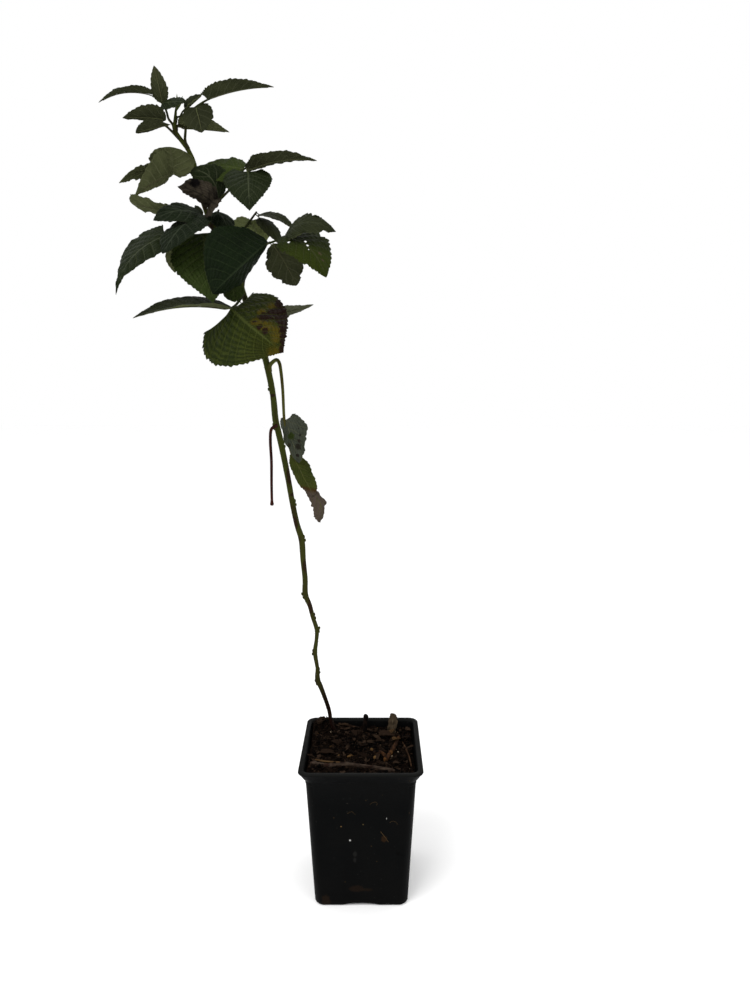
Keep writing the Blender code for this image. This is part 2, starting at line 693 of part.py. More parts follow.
def build_leaf_13(material):
    """The topmost leaf: a long left leaflet, an upright one and a dark one across the tip."""
    return leaf(
        "leaf_13", material, 0.6815, 180,
        [(-159, 16, 686), (-160.5, 15.5, 692), (-163, 15, 697), (-167, 15, 701), (-171, 14, 703)],
        [
            dict(teeth=7, base=(-168, 14, 701), tip=(-210, -4, 692), width=24, facing=(0, -0.14, 1), arch=6,
                 fold=8),
            dict(teeth=5, base=(-163, 15, 698), tip=(-167, 8, 724), width=14, facing=(-0.2, 1, 0.2),
                 fold=16, arch=-2),
            dict(teeth=6, base=(-163, 13, 697), tip=(-135, -10, 689), width=22, facing=(0, -0.75, 0.7),
                 arch=3, fold=-14),
        ],
        stalk=(1.1, 0.7))


def build_young_leaf(material):
    """A young pleated leaf beside the tip."""
    return leaf(
        "young_leaf", material, 0.687, 335,
        [(-148, 10, 686), (-145, 6, 688), (-142, 5, 690.5)],
        [dict(teeth=5, base=(-142.5, 5, 690), tip=(-127.5, 3, 700.5), width=11, facing=(-0.4, -0.8, 0.6),
              fold=35)],
        stalk=(0.9, 0.6))


# Soil and litter

# Shares of the compost's half width at which its top has rings, and its bark chips
SOIL_RING_SHARES = (1.0, 0.94, 0.80, 0.62, 0.42, 0.22)
CHIP_COUNT = 16
CHIP_SEED = 12


def soil_height(x, y):
    """The height of the compost: heaped at the back left, lower at the back right."""
    heap = 0.0062 * math.exp(-((x + 0.041) ** 2 + (y - 0.042) ** 2) / 0.016 ** 2)
    dip = -0.0030 * math.exp(-((x - 0.036) ** 2 + (y - 0.030) ** 2) / 0.020 ** 2)
    lumps = 0.0022 * noise.noise(Vector((x * 90, y * 90, 3.0)))
    return SOIL_LEVEL + heap + dip + lumps


def soil_body(material):
    """The block of compost that fills the pot, with a lumpy top."""
    low = FLOOR_THICKNESS + SEAT_GAP
    brim = SOIL_LEVEL - 0.008
    corner = POT_CORNER - POT_WALL - SEAT_GAP
    rings = [rounded_square(inner_half(low) - 2 * SEAT_GAP, corner, low)]
    rings.append(rounded_square(inner_half(brim) - 2 * SEAT_GAP, corner, brim))
    outline = rounded_square(inner_half(brim) - 2 * SEAT_GAP, corner, 0.0)
    for share in SOIL_RING_SHARES:
        ring = []
        for point in outline:
            x, y = point.x * share, point.y * share
            edge_drop = 0.0025 if share == 1.0 else 0.0
            ring.append(Vector((x, y, soil_height(x, y) - edge_drop)))
        rings.append(ring)
    return loft("soil", rings, material, peak=soil_height(0.0, 0.0))


def chip(index):
    """One flat splinter of bark, half sunk in the compost."""
    x = noise.random_unit_vector().x * 0.038
    y = noise.random_unit_vector().y * 0.038
    size = Vector((0.005 + 0.006 * noise.random(), 0.0025 + 0.003 * noise.random(), 0.0020))
    bm = bmesh.new()
    bmesh.ops.create_cube(bm, size=1.0)
    bmesh.ops.scale(bm, vec=size, verts=bm.verts)
    turn = Matrix.Rotation(noise.random() * math.pi, 4, "Z") @ Matrix.Rotation((noise.random() - 0.5) * 0.7, 4, "Y")
    place = Matrix.Translation((x, y, soil_height(x, y) - 0.0004 + 0.0001 * (index % 5)))
    bmesh.ops.transform(bm, matrix=place @ turn, verts=bm.verts)
    return object_from_bmesh("chip", bm)


def on_soil(x, y, lift=0.0):
    """A litter point given in millimetres across the pot, lying on the compost."""
    return Vector((x * 0.001, y * 0.001, soil_height(x * 0.001, y * 0.001) + lift * 0.001))


# Litter: points across the pot with their lift in millimetres, then the radius at each end
LITTER = {
    "front_twig": ([(-45.5, -31, 1.3), (-30, -31.5, 1.2), (-14, -30, 1.2), (8, -33.5, 1.3), (30, -39, 1.6)], 1.7, 1.3),
    "pale_straw": ([(-42, -24, 0.9), (-31, -25, 0.9), (-19, -27, 0.9)], 0.9, 0.8),
    "bent_twig": ([(22, -24, 1.2), (30, 0, 1.8), (35, 27, 1.4)], 1.4, 1.0),
    "side_straw": ([(39, 18, 1.0), (43, -11, 1.0), (45, -33, 1.3)], 0.8, 0.7),
    "back_twig": ([(-24, 46, 1.0), (-12, 44.5, 1.0), (-3, 42, 0.9)], 1.1, 0.9),
    "short_twig": ([(-22, 36, 0.8), (-14, 40, 0.8)], 0.9, 0.7),
}

# The cut-off old cane, in millimetres, and the dried scrap's width
STUB_ROUTE = [(2, 37, 112), (2.2, 37, 122), (2.5, 37, 131), (2.8, 37.5, 139), (3.6, 38, 145), (4.2, 38, 146.5)]
SCRAP_WIDTH = 12


def litter_tube(name, grow=0.0, material=None):
    """One twig or straw, or a slightly thicker copy of it that cuts its bed."""
    points, start, end = LITTER[name]
    line = smooth_route([on_soil(*p) for p in points], 3)
    radii = [r + grow for r in taper(len(line), start * 0.001, end * 0.001)]
    if grow:
        line[0] = line[0] + (line[0] - line[1]).normalized() * grow
        line[-1] = line[-1] + (line[-1] - line[-2]).normalized() * grow
    return tube(name, line, radii, STALK_SIDES, material)


def stub_tube(grow=0.0, material=None):
    """The cut-off old cane, or a thicker copy that bores its hole."""
    route = [mm(*p) for p in STUB_ROUTE]
    if grow:
        route[0] = route[0] - Vector((0, 0, grow))
    radii = [r * 0.001 + grow for r in (2.0, 2.1, 2.2, 2.3, 2.6, 2.0)]
    return tube("cut_stub", route, radii, CANE_SIDES, material)


def scrap_blade(name, thickness, material=None):
    """A curled scrap of dried leaf that leans on the compost at the back."""
    surface = blade_surface(base=(27.2, 36.6, 121.5), tip=(31, 41, 148), width=SCRAP_WIDTH, facing=(0, -1, 0.3), fold=-30,
                            arch=2)
    steps = 5
    bm = bmesh.new()
    rows = []
    for k in range(1, steps):
        rows.append([bm.verts.new(surface(k / steps, across)) for across in (-1.0, -0.5, 0.0, 0.5, 1.0)])
    for low, high in zip(rows, rows[1:]):
        for i in range(4):
            bm.faces.new((low[i], low[i + 1], high[i + 1]))
            bm.faces.new((low[i], high[i + 1], high[i]))
    bmesh.ops.recalc_face_normals(bm, faces=bm.faces)
    item = object_from_bmesh(name, bm, material)
    wall = item.modifiers.new("thickness", "SOLIDIFY")
    wall.thickness = thickness
    wall.offset = 0.0
    return item


def cane_foot_cutter():
    """A slightly thicker copy of the cane's foot, which bores the hole that it stands in."""
    count = 5
    route = cane_points()[:count]
    route[0] = route[0] - (route[1] - route[0]).normalized() * SEAT_GAP
    radii = [row[3] * 0.001 + SEAT_GAP / math.cos(math.pi / CANE_SIDES) for row in CANE_ROUTE[:count]]
    return tube("foot_hole", route, radii, CANE_SIDES)


def build_soil(material):
    """Compost with bark chips, bored for the cane and the stub and bedded for the litter."""
    soil = soil_body(material)
    noise.seed_set(CHIP_SEED)
    combine(soil, [chip(i) for i in range(CHIP_COUNT)], "UNION", "MANIFOLD")
    cutters = [cane_foot_cutter(), stub_tube(SEAT_GAP * 1.1), scrap_blade("bed", 0.0010 + 2 * SEAT_GAP)]
    cutters += [litter_tube(name, SEAT_GAP * 1.2) for name in LITTER]
    combine(soil, cutters, "DIFFERENCE", "MANIFOLD")
    return soil


def build_litter():
    """Twigs, straws, the cut stub and the dried scrap, each lying in its own bed."""
    colours = {
        "front_twig": (0.20, 0.16, 0.13), "pale_straw": (0.52, 0.40, 0.22), "bent_twig": (0.33, 0.18, 0.08),
        "side_straw": (0.40, 0.30, 0.18), "back_twig": (0.26, 0.20, 0.15), "short_twig": (0.24, 0.17, 0.11),
    }
    for name in LITTER:
        litter_tube(name, 0.0, make_material(name, colours[name], 0.85))
    stub_tube(0.0, make_material("cut_stub", (0.03, 0.02, 0.018), 0.8))
    scrap_blade("dried_scrap", 0.0010, make_material("dried_scrap", (0.30, 0.22, 0.14), 0.9))


def build_all():
    """Every piece of the potted cane."""
    clear_scene()
    plastic = make_material("pot_plastic", (0.020, 0.022, 0.022), 0.55)
    compost = make_material("compost", (0.045, 0.028, 0.020), 0.95)
    bark = make_material("green_bark", (0.13, 0.17, 0.05), 0.6)
    green = make_material("leaf_green", (0.04, 0.085, 0.03), 0.6)
    dead = make_material("dead_leaf", (0.17, 0.12, 0.09), 0.9)
    stalk = make_material("dead_stalk", (0.10, 0.03, 0.03), 0.7)
    build_pot(plastic)
    build_soil(compost)
    build_cane(bark)
    build_low_dead_leaf(dead)
    build_dead_stalk(stalk)
    build_upper_dead_leaf(dead)
    for build in (build_leaf_01, build_leaf_02, build_leaf_03, build_leaf_04, build_leaf_05, build_leaf_06,
                  build_leaf_07, build_leaf_08, build_leaf_09, build_leaf_10, build_leaf_11, build_leaf_12,
                  build_leaf_13, build_young_leaf):
        build(green)
    build_litter()
    for item in bpy.data.objects:
        item.data.shade_smooth()
        item.data.set_sharp_from_angle(angle=SHARP_ANGLE)


build_all()
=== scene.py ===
"""A raspberry cane in a square nursery pot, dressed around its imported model. Metres, +Z up."""
import math
import random

import bmesh
import bpy
from mathutils import Matrix, Vector, noise


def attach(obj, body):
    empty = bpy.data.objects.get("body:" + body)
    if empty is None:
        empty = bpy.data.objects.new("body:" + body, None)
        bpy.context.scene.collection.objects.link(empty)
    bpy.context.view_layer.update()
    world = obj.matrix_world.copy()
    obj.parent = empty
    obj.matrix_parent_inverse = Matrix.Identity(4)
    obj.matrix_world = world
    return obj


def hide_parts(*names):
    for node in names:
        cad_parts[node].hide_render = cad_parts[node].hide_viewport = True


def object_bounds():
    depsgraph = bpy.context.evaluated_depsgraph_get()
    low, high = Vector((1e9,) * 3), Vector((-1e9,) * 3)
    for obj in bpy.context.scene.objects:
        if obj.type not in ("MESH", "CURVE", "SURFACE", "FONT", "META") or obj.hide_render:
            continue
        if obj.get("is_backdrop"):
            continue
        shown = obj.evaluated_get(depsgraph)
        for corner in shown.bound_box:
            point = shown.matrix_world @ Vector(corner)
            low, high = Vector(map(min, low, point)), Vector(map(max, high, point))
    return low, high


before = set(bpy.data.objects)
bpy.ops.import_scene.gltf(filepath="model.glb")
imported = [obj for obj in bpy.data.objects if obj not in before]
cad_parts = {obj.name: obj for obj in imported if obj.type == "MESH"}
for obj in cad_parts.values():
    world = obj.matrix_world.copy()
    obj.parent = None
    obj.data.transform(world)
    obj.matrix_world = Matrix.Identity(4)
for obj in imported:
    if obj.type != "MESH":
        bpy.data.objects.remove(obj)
cad_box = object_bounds()

# Pot
# A square 11 cm nursery pot, injection-moulded in one piece from recycled black polypropylene. Its wall
# is 1.2 mm thick and flares into a collar with a flat lip. The foot has an arched notch in each lower
# edge and four drain holes. Dust and flecks of compost cling to the outside.

POT_WIDTH = 0.11
POT_HEIGHT = 0.136
POT_BODY_TOP = 0.098
POT_BODY_FOOT = 0.085
POT_CORNER = 0.0085
POT_WALL = 0.0012
RIM_LIP = 0.0042
COLLAR_DROP = 0.0105
FLOOR_THICKNESS = 0.0032
NOTCH_WIDTH = 0.034
NOTCH_RISE = 0.002
NOTCH_DEPTH = 0.004
DRAIN_RADIUS = 0.0042
DRAIN_PLACE = 0.026
DRAIN_CUT = 0.02
FOOT_ROUND = 0.0022
BODY_LEVELS = (0.006, 0.03, 0.065, 0.1)
STEP_LOW = 0.0042
STEP_HIGH = 0.0036
STEP_OUT = 0.00035
CORNER_STEPS = 10
SIDE_STEPS = 16


class Finish:
    """One finish: a material whose nodes are added step by step."""

    def __init__(self, name, shine=0.03, **constants):
        self.material = bpy.data.materials.new(name)
        self.material.use_nodes = True
        self.tree = self.material.node_tree
        self.shader = self.tree.nodes["Principled BSDF"]
        self.shader.inputs["Specular IOR Level"].default_value = shine
        for socket, value in constants.items():
            self.shader.inputs[socket.replace("_", " ")].default_value = value
        self.place = self.add("TexCoord", out="Object")

    def add(self, kind, inputs=(), out=0, **settings):
        """One node with its inputs joined or set; gives back one of its outputs."""
        node = self.tree.nodes.new("ShaderNode" + kind)
        for key, value in settings.items():
            setattr(node, key, value)
        for key, value in inputs.items() if isinstance(inputs, dict) else enumerate(inputs):
            if isinstance(value, bpy.types.NodeSocket):
                self.tree.links.new(value, node.inputs[key])
            else:
                node.inputs[key].default_value = value
        return node.outputs[out]

    def maths(self, operation, *values):
        return self.add("Math", values, operation=operation)

    def times(self, first, second):
        return self.maths("MULTIPLY", first, second)

    def plus(self, first, second):
        return self.maths("ADD", first, second)

    def less(self, first, second):
        return self.maths("SUBTRACT", first, second)

    def stretched(self, x, y, z):
        return self.add("VectorMath", [self.place, (x, y, z)], operation="MULTIPLY")

    def along(self, axis):
        """Where a point lies along the axis X, Y or Z, in metres."""
        return self.add("SeparateXYZ", [self.place], out=axis)

    def noise(self, scale, detail=3.0, roughness=0.55, at=None):
        return self.add("TexNoise", {"Vector": at or self.place, "Scale": scale, "Detail": detail,
                                     "Roughness": roughness})

    def waver(self, size, scale, detail=3.0):
        """Noise that goes up and down round 0, of the given size in all."""
        return self.maths("MULTIPLY_ADD", self.noise(scale, detail), size, -size / 2)

    def cells(self, scale, feature="F1", out="Distance"):
        return self.add("TexVoronoi", {"Vector": self.place, "Scale": scale}, out=out, feature=feature)

    def between(self, value, low, high, start=0.0, end=1.0):
        """A smooth step of a value from low to high."""
        return self.add("MapRange", [value, low, high, start, end], interpolation_type="SMOOTHSTEP")

    def blend(self, share, first, second):
        """Two colours mixed."""
        pair = [(*c, 1.0) if isinstance(c, tuple) else c for c in (first, second)]
        return self.add("Mix", {0: share, 6: pair[0], 7: pair[1]}, out=2, data_type="RGBA")

    def over(self, colour, mask, amount, paint):
        """Paint laid over a colour where the mask is, as thickly as the amount says."""
        return self.blend(self.times(mask, amount), colour, paint)

    def blot(self, x, y, z, radius, ragged=0.5, soft=0.25, reach=(1.0, 1.0, 1.0)):
        """1 inside an uneven blot round a place given in millimetres, 0 outside it."""
        size = radius * 0.001
        centre = Vector((x * reach[0], y * reach[1], z * reach[2])) * 0.001
        here = self.add("VectorMath", [self.stretched(*reach), centre], out="Value", operation="DISTANCE")
        edge = self.waver(2 * ragged * size, 1.6 / size)
        return self.between(self.plus(here, edge), size * (1 + soft), size * (1 - soft))

    def specks(self, scale, size, share):
        """1 on small round specks, on a share of the places where one could be."""
        chosen = self.add("SeparateColor", [self.cells(scale, out="Color")])
        return self.times(self.between(self.cells(scale), size, size * 0.7),
                          self.maths("GREATER_THAN", chosen, 1.0 - share))

    def finish(self, colour, roughness=None, height=None, strength=0.3, depth=0.001):
        """Join the colour, the roughness and the bumps to the shader."""
        self.tree.links.new(colour, self.shader.inputs["Base Color"])
        if roughness is not None:
            self.tree.links.new(roughness, self.shader.inputs["Roughness"])
        if height is not None:
            bumps = self.add("Bump", {"Strength": strength, "Distance": depth, "Height": height},
                             out="Normal")
            self.tree.links.new(bumps, self.shader.inputs["Normal"])
        return self.material


def piece_from(bm, name, *materials, sharp=40):
    """A smooth-shaded object with its creases kept sharp."""
    mesh = bpy.data.meshes.new(name)
    bm.to_mesh(mesh)
    bm.free()
    for material in materials:
        mesh.materials.append(material)
    mesh.shade_smooth()
    mesh.set_sharp_from_angle(angle=math.radians(sharp))
    item = bpy.data.objects.new(name, mesh)
    bpy.context.scene.collection.objects.link(item)
    return item


def settle(item):
    """Apply the object's modifiers to its mesh."""
    bpy.context.view_layer.update()
    mesh = bpy.data.meshes.new_from_object(item.evaluated_get(bpy.context.evaluated_depsgraph_get()))
    item.modifiers.clear()
    item.data = mesh
    return item


def belongs(item, slot, *nodes):
    """Fix a piece to the plant, in place of the named nodes."""
    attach(item, "root")
    if nodes:
        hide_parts(*nodes)


def square_ring(half, corner, z):
    """Points of a square with round corners, anticlockwise as seen from above."""
    ring = []
    for quarter in range(4):
        turn = Matrix.Rotation(quarter * math.pi / 2, 3, "Z")
        for k in range(CORNER_STEPS + 1):
            angle = k / CORNER_STEPS * math.pi / 2
            ring.append(turn @ Vector((half - corner + corner * math.cos(angle),
                                       half - corner + corner * math.sin(angle), z)))
        for k in range(1, SIDE_STEPS):
            ring.append(turn @ Vector(((half - corner) * (1 - 2 * k / SIDE_STEPS), half, z)))
    return ring


def ring_edges(bm, verts):
    return [bm.edges.get((verts[i - 1], verts[i])) for i in range(len(verts))]


def cap(bm, verts):
    """Close a ring of vertices with one face."""
    bmesh.ops.holes_fill(bm, edges=ring_edges(bm, verts), sides=0)


def grow_ring(bm, verts, places):
    """Extrude a closed ring of vertices once, onto the given places."""
    grown = bmesh.ops.extrude_edge_only(bm, edges=ring_edges(bm, verts))["geom"]
    fresh = {part for part in grown if isinstance(part, bmesh.types.BMVert)}
    ring = [next(e.other_vert(v) for e in v.link_edges if e.other_vert(v) in fresh) for v in verts]
    for vert, place in zip(ring, places):
        vert.co = place
    return ring


def body_half(z):
    """Half the width of the pot's tapered body at a height."""
    return (POT_BODY_FOOT + (POT_BODY_TOP - POT_BODY_FOOT) * z / (POT_HEIGHT - COLLAR_DROP)) / 2


def inner_half(z):
    return body_half(z) - POT_WALL


body_top = POT_HEIGHT - COLLAR_DROP
lip = POT_WIDTH / 2
pot_profile = [
    (body_half(0) - 0.009, POT_CORNER - 0.004, 0.0),
    (body_half(0) - FOOT_ROUND, POT_CORNER - FOOT_ROUND / 2, 0.0),
    (body_half(0) - FOOT_ROUND * 0.65, POT_CORNER - FOOT_ROUND * 0.3, FOOT_ROUND * 0.1),
    (body_half(0) - FOOT_ROUND * 0.3, POT_CORNER - FOOT_ROUND * 0.1, FOOT_ROUND * 0.34),
    (body_half(0) - FOOT_ROUND * 0.08, POT_CORNER, FOOT_ROUND * 0.65),
    (body_half(FOOT_ROUND), POT_CORNER, FOOT_ROUND * 1.1),
    *[(body_half(z), POT_CORNER, z) for z in BODY_LEVELS],
    (body_half(body_top - STEP_LOW), POT_CORNER, body_top - STEP_LOW),
    (body_half(body_top - STEP_HIGH) + STEP_OUT, POT_CORNER, body_top - STEP_HIGH),
    (body_half(body_top - 0.0008) + STEP_OUT, POT_CORNER, body_top - 0.0008),
    (body_half(body_top) + 0.0009, POT_CORNER, body_top + 0.0002),
    (body_half(body_top) + 0.0018, POT_CORNER, body_top + 0.0014),
    (lip - 0.0014, POT_CORNER, POT_HEIGHT - 0.0038),
    (lip - 0.0005, POT_CORNER, POT_HEIGHT - 0.0026),
    (lip, POT_CORNER, POT_HEIGHT - 0.0017),
    (lip - 0.0001, POT_CORNER, POT_HEIGHT - 0.0007),
    (lip - 0.0006, POT_CORNER, POT_HEIGHT - 0.0001),
    (lip - 0.0012, POT_CORNER, POT_HEIGHT),
    (lip - RIM_LIP + 0.0006, POT_CORNER - 0.0016, POT_HEIGHT),
    (lip - RIM_LIP, POT_CORNER - 0.002, POT_HEIGHT - 0.0002),
    (lip - RIM_LIP - 0.0005, POT_CORNER - 0.0022, POT_HEIGHT - 0.0008),
    (lip - RIM_LIP - 0.0011, POT_CORNER - 0.0024, POT_HEIGHT - 0.0022),
    (inner_half(body_top) + 0.0004, POT_CORNER - POT_WALL, body_top - 0.0002),
    (inner_half(body_top - 0.002), POT_CORNER - POT_WALL, body_top - 0.002),
    (inner_half(0.065), POT_CORNER - POT_WALL, 0.065),
    (inner_half(FLOOR_THICKNESS), POT_CORNER - POT_WALL, FLOOR_THICKNESS + 0.001),
    (inner_half(FLOOR_THICKNESS) - 0.001, POT_CORNER - POT_WALL - 0.001, FLOOR_THICKNESS),
]
bm = bmesh.new()
rings = [square_ring(*row) for row in pot_profile]
ring = bmesh.ops.create_circle(bm, segments=len(rings[0]), radius=0.04)["verts"]
for vert, point in zip(ring, rings[0]):
    vert.co = point
cap(bm, ring)
for points in rings[1:]:
    ring = grow_ring(bm, ring, points)
cap(bm, ring)
for vert in bm.verts:
    along = min(abs(vert.co.x), abs(vert.co.y))
    outward = max(abs(vert.co.x), abs(vert.co.y))
    if vert.co.z < FOOT_ROUND * 1.2 and outward > body_half(0) - NOTCH_DEPTH and along < NOTCH_WIDTH / 2:
        vert.co.z += NOTCH_RISE * (1 - (2 * along / NOTCH_WIDTH) ** 2) * (1 - vert.co.z / (FOOT_ROUND * 3))
bmesh.ops.recalc_face_normals(bm, faces=bm.faces)

plastic = Finish("black_polypropylene", 0.026, IOR=1.49)
streaks = plastic.noise(45, 5, at=plastic.stretched(1, 1, 0.07))
film = plastic.between(plastic.noise(28, 6, 0.65), 0.42, 0.75)
height_up = plastic.along("Z")
low_down = plastic.between(height_up, 0.05, 0.0)
colour = plastic.blend(streaks, (0.0005, 0.0006, 0.0007), (0.0013, 0.0015, 0.0015))
colour = plastic.over(colour, film, 0.35, (0.0036, 0.0034, 0.003))
colour = plastic.over(colour, low_down, 0.06, (0.006, 0.0046, 0.0036))
# Painted highlight: the top of the lip is lighter, as if lit from above.
lip_top_painted_highlight = plastic.between(height_up, POT_HEIGHT - 0.0025, POT_HEIGHT - 0.0005)
colour = plastic.over(colour, lip_top_painted_highlight, 0.6, (0.0075, 0.0075, 0.0068))
pale_dust = plastic.specks(330, 0.17, 0.1)
tan_dust = plastic.specks(210, 0.13, 0.07)
colour = plastic.over(colour, pale_dust, 0.45, (0.02, 0.0195, 0.0175))
colour = plastic.over(colour, tan_dust, 0.7, (0.038, 0.024, 0.009))
# Splashes and flecks: each one's place and radius in millimetres, colour, stretch and strength.
MARKS = [
    (22.7, -46.7, 90, 0.6, (0.3, 0.3, 0.28), (1.7, 1, 0.45), 0.9),
    (-9.7, -45.9, 68, 0.85, (0.36, 0.36, 0.34), (1, 1, 1), 0.9),
    (-17.6, -46.4, 82, 0.7, (0.11, 0.065, 0.022), (1, 1, 1), 0.8),
    (20.6, -45.9, 69.5, 2.7, (0.015, 0.007, 0.0025), (1.1, 1, 0.8), 0.85),
    (33.1, -45.3, 54.5, 1.9, (0.0003, 0.0003, 0.0003), (1, 1, 1), 0.9),
    (37.5, -45.2, 52.9, 1.4, (0.0003, 0.0003, 0.0003), (0.7, 1, 1.2), 0.9),
    (38.0, -44.5, 42.0, 0.9, (0.0005, 0.0005, 0.0005), (1, 1, 1), 0.8),
    (-5.4, -45.2, 54, 2.2, (0.012, 0.012, 0.011), (1.3, 1, 0.8), 0.5),
    (-5.6, -44.8, 48, 1.8, (0.013, 0.0125, 0.012), (1.4, 1, 0.7), 0.45),
    (-4.0, -43.6, 18, 5.2, (0.0095, 0.005, 0.0026), (0.8, 1, 1.6), 0.6),
    (5.5, -43.6, 17, 3.5, (0.01, 0.0055, 0.0028), (0.7, 1, 2.2), 0.5),
    (-32.0, -42.9, 5, 4.0, (0.013, 0.007, 0.0035), (1, 1, 0.6), 0.5),
    (-12.0, -47.4, 105, 0.6, (0.06, 0.052, 0.04), (0.5, 1, 1.6), 0.6),
    (2.0, -46.7, 84, 0.6, (0.08, 0.058, 0.022), (1, 1, 1), 0.7),
]
for x, y, z, size, tint, reach, amount in MARKS:
    colour = plastic.over(colour, plastic.blot(x, y, z, size, reach=reach), amount, tint)
dull = plastic.plus(plastic.between(film, 0.0, 1.0, 0.4, 0.6), plastic.times(streaks, 0.08))
grain = plastic.plus(plastic.times(plastic.noise(2400, 2), 0.35), plastic.noise(90, 4))
plastic.finish(colour, dull, grain, strength=0.22, depth=0.0008)

pot = piece_from(bm, "nursery_pot", plastic.material, sharp=32)
bm = bmesh.new()
for x in (-DRAIN_PLACE, DRAIN_PLACE):
    for y in (-DRAIN_PLACE, DRAIN_PLACE):
        bmesh.ops.create_cone(bm, cap_ends=True, segments=32, radius1=DRAIN_RADIUS, radius2=DRAIN_RADIUS,
                              depth=DRAIN_CUT, matrix=Matrix.Translation((x, y, 0)))
drains = piece_from(bm, "drains")
cut = pot.modifiers.new("drains", "BOOLEAN")
cut.object = drains
cut.solver = "EXACT"
settle(pot)
bpy.data.objects.remove(drains, do_unlink=True)
belongs(pot, "pot_plastic", "pot")

# Stray flakes on the pot
# A shred of bark with a straw beside it has dried onto the front of the pot, with two hair roots above it.


def smooth_route(points, steps):
    """A smooth curve through the given points, with a few steps between each pair."""
    ends = [points[0] * 2 - points[1], *points, points[-1] * 2 - points[-2]]
    route = []
    for i in range(1, len(ends) - 2):
        a, b, c, d = ends[i - 1:i + 3]
        for k in range(steps):
            t = k / steps
            route.append(0.5 * (2 * b + (c - a) * t + (2 * a - 5 * b + 4 * c - d) * t ** 2
                                + (3 * b - a - 3 * c + d) * t ** 3))
    route.append(points[-1].copy())
    return route


def taper(count, start, end):
    """Evenly changing radii, given in millimetres."""
    return [(start + (end - start) * i / (count - 1)) * 0.001 for i in range(count)]


def mm(x, y, z):
    """A position given in millimetres."""
    return Vector((x, y, z)) * 0.001


def add_tube(bm, route, radii, sides=8, material_index=0):
    """A round stalk with closed ends along a route, added to a piece."""
    curve = bpy.data.curves.new("stalk", "CURVE")
    curve.dimensions = "3D"
    curve.bevel_depth = 1.0
    curve.bevel_resolution = sides // 2 - 2
    curve.use_fill_caps = True
    spline = curve.splines.new("POLY")
    spline.points.add(len(route) - 1)
    for point, place, radius in zip(spline.points, route, radii):
        point.co = (*place, 1.0)
        point.radius = radius
    guide = bpy.data.objects.new("stalk", curve)
    bpy.context.scene.collection.objects.link(guide)
    bpy.context.view_layer.update()
    mesh = bpy.data.meshes.new_from_object(guide.evaluated_get(bpy.context.evaluated_depsgraph_get()))
    bpy.data.objects.remove(guide, do_unlink=True)
    step = bmesh.new()
    step.from_mesh(mesh)
    bmesh.ops.remove_doubles(step, verts=step.verts, dist=1e-6)
    bmesh.ops.recalc_face_normals(step, faces=step.faces)
    for face in step.faces:
        face.material_index = material_index
    step.to_mesh(mesh)
    step.free()
    bm.from_mesh(mesh)
    bpy.data.meshes.remove(mesh)


HAIRS = ([(8, 104), (10.5, 106), (13, 106.5), (14.5, 105), (13.5, 103)],
         [(25.5, 86), (28, 87.5), (31, 86.5), (32.5, 84)], [(-12, 95), (-8, 97), (-5, 94)])


def on_pot_front(x, z, lift):
    """A place in millimetres on the pot's front wall."""
    return Vector((x * 0.001, -body_half(z * 0.001) - lift * 0.001, z * 0.001))


bm = bmesh.new()
straw_line = [on_pot_front(17.5, 77, 0.2), on_pot_front(21, 72, 0.25), on_pot_front(24.5, 66.5, 0.2)]
add_tube(bm, smooth_route(straw_line, 4), taper(9, 0.24, 0.16), 6)
for points in HAIRS:
    route = smooth_route([on_pot_front(x, z, 0.1) for x, z in points], 4)
    add_tube(bm, route, taper(len(route), 0.1, 0.08), 6)
straw = Finish("dry_straw", Roughness=0.8)
straw.finish(straw.blend(straw.noise(900, 3), (0.03, 0.017, 0.0065), (0.075, 0.05, 0.022)),
             height=straw.noise(2500, 2), strength=0.3, depth=0.0002)
belongs(piece_from(bm, "flakes_on_pot", straw.material), "side_straw")

# Compost
# Coarse bark-based compost fills the pot to just under the rim, heaped against the back left corner and
# sunk at the back right. It is a dark red-brown mass of crumbs, splinters of bark and fine roots.

SOIL_LEVEL = 0.1305
SOIL_GAP = 0.0004
SOIL_CELLS = 150
SOIL_LOW = FLOOR_THICKNESS + 0.0003
SOIL_BRIM = SOIL_LEVEL - 0.008
SOIL_PRESS = 1.02
HEAP = (-0.041, 0.042, 0.016, 0.0062)
DIP = (0.036, 0.03, 0.02, -0.003)
BANK_START = -0.02
BANK_SLOPE = 0.0022 / 0.028
LUMPS = (0.0026, 90, 3.0)
CRUMBLY = ((0.0022, 210, 8.0), (0.0009, 700, 5.0))


def swell(x, y, middle_x, middle_y, spread, rise):
    return rise * math.exp(-((x - middle_x) ** 2 + (y - middle_y) ** 2) / spread ** 2)


def relief(x, y, size, scale, layer):
    return size * noise.noise(Vector((x * scale, y * scale, layer)))


def soil_height(x, y):
    """The general lie of the compost, as the litter on it follows."""
    bank = BANK_SLOPE * max(0.0, BANK_START - x)
    return SOIL_LEVEL + swell(x, y, *HEAP) + swell(x, y, *DIP) + bank + relief(x, y, *LUMPS)


def soil_top(x, y):
    """The compost's surface with its crumbly relief, sinking a little at the pot's wall."""
    edge = max(abs(x), abs(y)) / (inner_half(SOIL_BRIM) - SOIL_GAP)
    crumbly = sum(relief(x, y, *row) for row in CRUMBLY)
    return soil_height(x, y) + crumbly - 0.001 * max(0.0, (edge - 0.92) / 0.08) ** 2


def in_pot(x, y, share=1.0):
    """A point of a square from -1 to 1, brought inside the pot's rounded square."""
    half = (inner_half(SOIL_BRIM) - SOIL_GAP) * share
    corner = POT_CORNER - POT_WALL
    reach = max(abs(x), abs(y), 1e-9)
    edge = Vector((abs(x) / reach * half, abs(y) / reach * half))
    middle = Vector((half - corner, half - corner))
    if edge.x > middle.x and edge.y > middle.y:
        edge = middle + (edge - middle).normalized() * corner
    return math.copysign(edge.x * reach, x), math.copysign(edge.y * reach, y)


